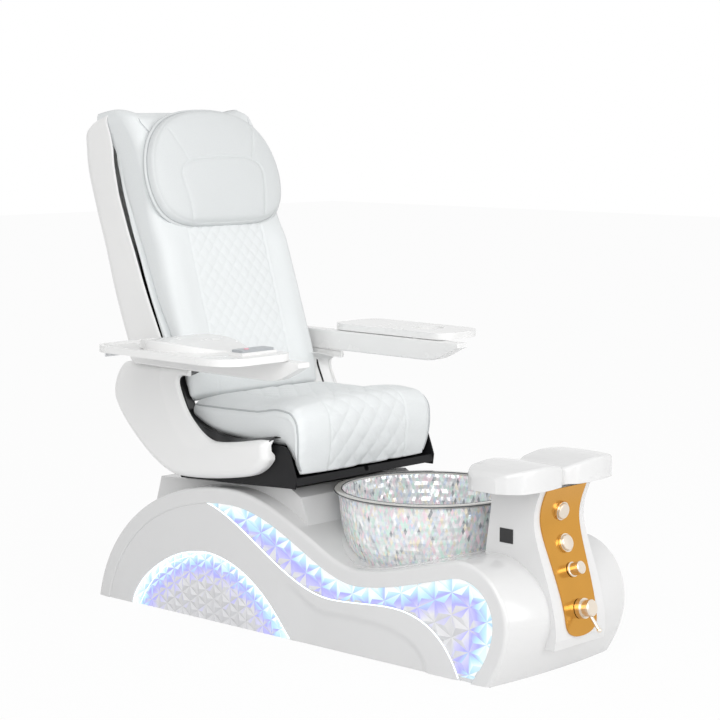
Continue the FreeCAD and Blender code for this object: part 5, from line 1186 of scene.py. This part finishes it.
class SPACHAIR_OT_side_panels(bpy.types.Operator):
    """Adds the two C-shaped side panels with their rounded edges, and the inside walls behind their lips, the
    right one black as painted shade
    """

    bl_idname = "spa_chair.side_panels"
    bl_label = "Side panels"

    def execute(self, context):
        outer = [[(438.5, 734), (708, 734)], [(708, 734), (732, 734), (768, 684), (768, 639)],
                 [(768, 639), (768, 575), (590, 417), (488, 417)],
                 [(488, 417), (392, 417), (270, 434), (192, 452)],
                 [(192, 452), (162, 460), (128, 478), (110, 508)]]
        inner = [(438.5, 712), (466, 713), (486, 706), (491, 690), (480, 660), (453, 610), (421, 578),
                 (384, 551), (351, 537), (319, 534), (238, 544), (175, 556), (140, 562), (112, 562)]
        out_line, in_line = outline(outer, 300), smooth_line(inner, 300)
        plane = ruled(out_line, in_line, 46)
        near_out = nearest(plane, np.vstack([out_line, in_line[-1:]]))
        near_in = nearest(plane, in_line)
        y, z = plane[..., 0], plane[..., 1]
        roll = rolled(near_out, 18.0 + 9.0 * step(640, 480, z)) + rolled(near_in, 7.0)
        fold = 11.0 * np.clip(1 - near_in / (14 + 50 * step(300, 470, y)), 0, 1)
        depth = PANEL_X - np.minimum(roll + fold, PANEL_FALL)
        back = np.minimum(PANEL_BACK + 18.0 * step(46, 22, near_in), depth - 5)
        for word, side in SIDES:
            ring = np.concatenate([np.stack([side * depth, y, z], axis=-1),
                                   np.stack([side * back, y, z], axis=-1)[:, ::-1]], axis=1)
            build(f"side_panel_{word}_moulding", [sheet(ring, round_cols=True, close_ends=True)], "seat",
                  "panel_white", (f"side_panel_{word}",), angle=EDGE_ANGLE)
        self.inside_walls(in_line)
        return {"FINISHED"}

    def inside_walls(self, lip):
        """Walls from behind each panel's lip inwards to the seat frame, wider inside than outside, and then
            on under the cushion; the one on the occupant's right is black, a sheet of painted shade for the
            dark inside behind its lip, and the other is white."""
        lip = lip[(lip[:, 0] > 100) & (lip[:, 1] > 530)]
        deep = smooth_line([(446, 716), (508, 716), (524, 700), (503, 654), (482, 613), (466, 590), (404, 563),
                            (346, 553), (234, 548), (175, 560), (108, 572)], 200)
        lines = [np.column_stack([np.full(200, x), line]) for x, line in (
            (307.0, evenly(offset(lip, 3.0), 200)), (286.0, deep), (238.0, offset(deep, 14.0)))]
        rows = [one * (1 - share) + two * share
                for one, two in zip(lines, lines[1:]) for share in np.linspace(0, 1, 9)[:-1]]
        # Painted shade: the right wall is black where the inside lies in shadow, and the left one is white.
        for (word, side), finish in zip(SIDES, ("black_plastic", "panel_white")):
            grid = np.stack(rows + lines[-1:]) * (side, 1, 1)
            thicken(build(f"panel_inside_wall_{word}", [sheet(grid)], "seat", finish), 1.5, 0)


class SPACHAIR_OT_stage(bpy.types.Operator):
    """Adds the pale floor, the soft studio light and the camera"""

    bl_idname = "spa_chair.stage"
    bl_label = "Stage"

    def execute(self, context):
        scene = context.scene
        scene.view_settings.view_transform = "Standard"
        self.floor()
        self.world(scene)
        for name, place, turn, size, watts in (
                ("KeyLight", (-3.7, -3.0, 3.0), (61, 0, -51), 3.6, 125.0),
                ("FillLight", (0.6, -4.6, 1.4), (83, 0, 7), 3.0, 66.0),
                ("TopLight", (0.0, 0.6, 4.6), (0, 0, 0), 3.4, 10.0)):
            lamp = bpy.data.lights.new(name, "AREA")
            lamp.size, lamp.energy = size, watts
            self.aim(add_object(name, lamp), place, turn)
        camera = add_object("Camera", bpy.data.cameras.new("Camera"))
        self.aim(camera, CAMERA_PLACE, CAMERA_TURN)
        camera.data.lens, camera.data.sensor_width = LENS, SENSOR_WIDTH
        scene.camera = camera
        return {"FINISHED"}

    def aim(self, thing, place, turn):
        """Stands a lamp or the camera at a place, turned by angles in degrees."""
        thing.location = place
        thing.rotation_euler = [math.radians(angle) for angle in turn]

    def floor(self):
        """A floor 40 m across, white to the camera but still shaded by the chair."""
        finish = Finish("floor_white", roughness=0.9, specular_ior_level=0.1)
        finish.feed("Base Color", (0.86, 0.86, 0.86, 1.0))
        finish.feed("Normal", finish.bump(finish.noise(40.0, 2.0), 0.0002, 0.1))
        white = finish.add("ShaderNodeEmission", None, {"Color": WHITE, "Strength": 1.0})
        mixed = finish.white_to_camera(Value(finish, finish.shader.outputs[0]), white, FLOOR_WHITE)
        finish.fill(finish.tree.nodes["Material Output"].inputs["Surface"], mixed)
        mesh = bpy.data.meshes.new("Floor")
        points = [(x * FLOOR_HALF, y * FLOOR_HALF, 0) for x, y in ((-1, -1), (1, -1), (1, 1), (-1, 1))]
        mesh.from_pydata(points, [], [(0, 1, 2, 3)])
        mesh.materials.append(finish.material)
        floor = add_object("Floor", mesh)
        floor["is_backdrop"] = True

    def world(self, scene):
        """Even light all round, seen as plain white behind the chair."""
        world = bpy.data.worlds.new("StudioWorld")
        world.use_nodes = True
        scene.world = world
        nodes = Nodes(world.node_tree)
        nodes.tree.nodes.remove(nodes.tree.nodes["Background"])
        soft, white = (nodes.add("ShaderNodeBackground", None, {"Color": WHITE, "Strength": strength})
                       for strength in (WORLD_LIGHT, 1.0))
        mixed = nodes.white_to_camera(soft, white, 1.0)
        nodes.fill(nodes.tree.nodes["World Output"].inputs["Surface"], mixed)


class SPACHAIR_PT_panel(bpy.types.Panel):
    """Lists the chair's pieces in the sidebar"""

    bl_idname = "SPACHAIR_PT_panel"
    bl_label = "Spa Chair"
    bl_space_type = "VIEW_3D"
    bl_region_type = "UI"
    bl_category = "Spa Chair"

    def draw(self, context):
        for group in (context.scene.spa_chair_sizes, context.scene.spa_chair_colours):
            for name in group.bl_rna.properties.keys():
                if name not in ("rna_type", "name"):
                    self.layout.prop(group, name)
        for operator in OPERATORS:
            self.layout.operator(operator.bl_idname)


OPERATORS = (
    SPACHAIR_OT_stage, SPACHAIR_OT_nodes, SPACHAIR_OT_flanks, SPACHAIR_OT_light_panels, SPACHAIR_OT_bowl,
    SPACHAIR_OT_seat, SPACHAIR_OT_back, SPACHAIR_OT_pillow, SPACHAIR_OT_footrest, SPACHAIR_OT_side_panels,
)
CLASSES = (SpaChairSizes, SpaChairColours, *OPERATORS, SPACHAIR_PT_panel)


def register():
    for entry in CLASSES:
        bpy.utils.register_class(entry)
    bpy.types.Scene.spa_chair_sizes = bpy.props.PointerProperty(type=SpaChairSizes)
    bpy.types.Scene.spa_chair_colours = bpy.props.PointerProperty(type=SpaChairColours)


def unregister():
    del bpy.types.Scene.spa_chair_colours
    del bpy.types.Scene.spa_chair_sizes
    for entry in reversed(CLASSES):
        bpy.utils.unregister_class(entry)


def corners():
    """The object's lowest and highest corner as plain lists."""
    return [[float(value) for value in corner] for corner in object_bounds()]


def main():
    register()
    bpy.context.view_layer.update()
    for operator in OPERATORS:
        group, name = operator.bl_idname.split(".")
        getattr(getattr(bpy.ops, group), name)()


if __name__ == "__main__":
    main()
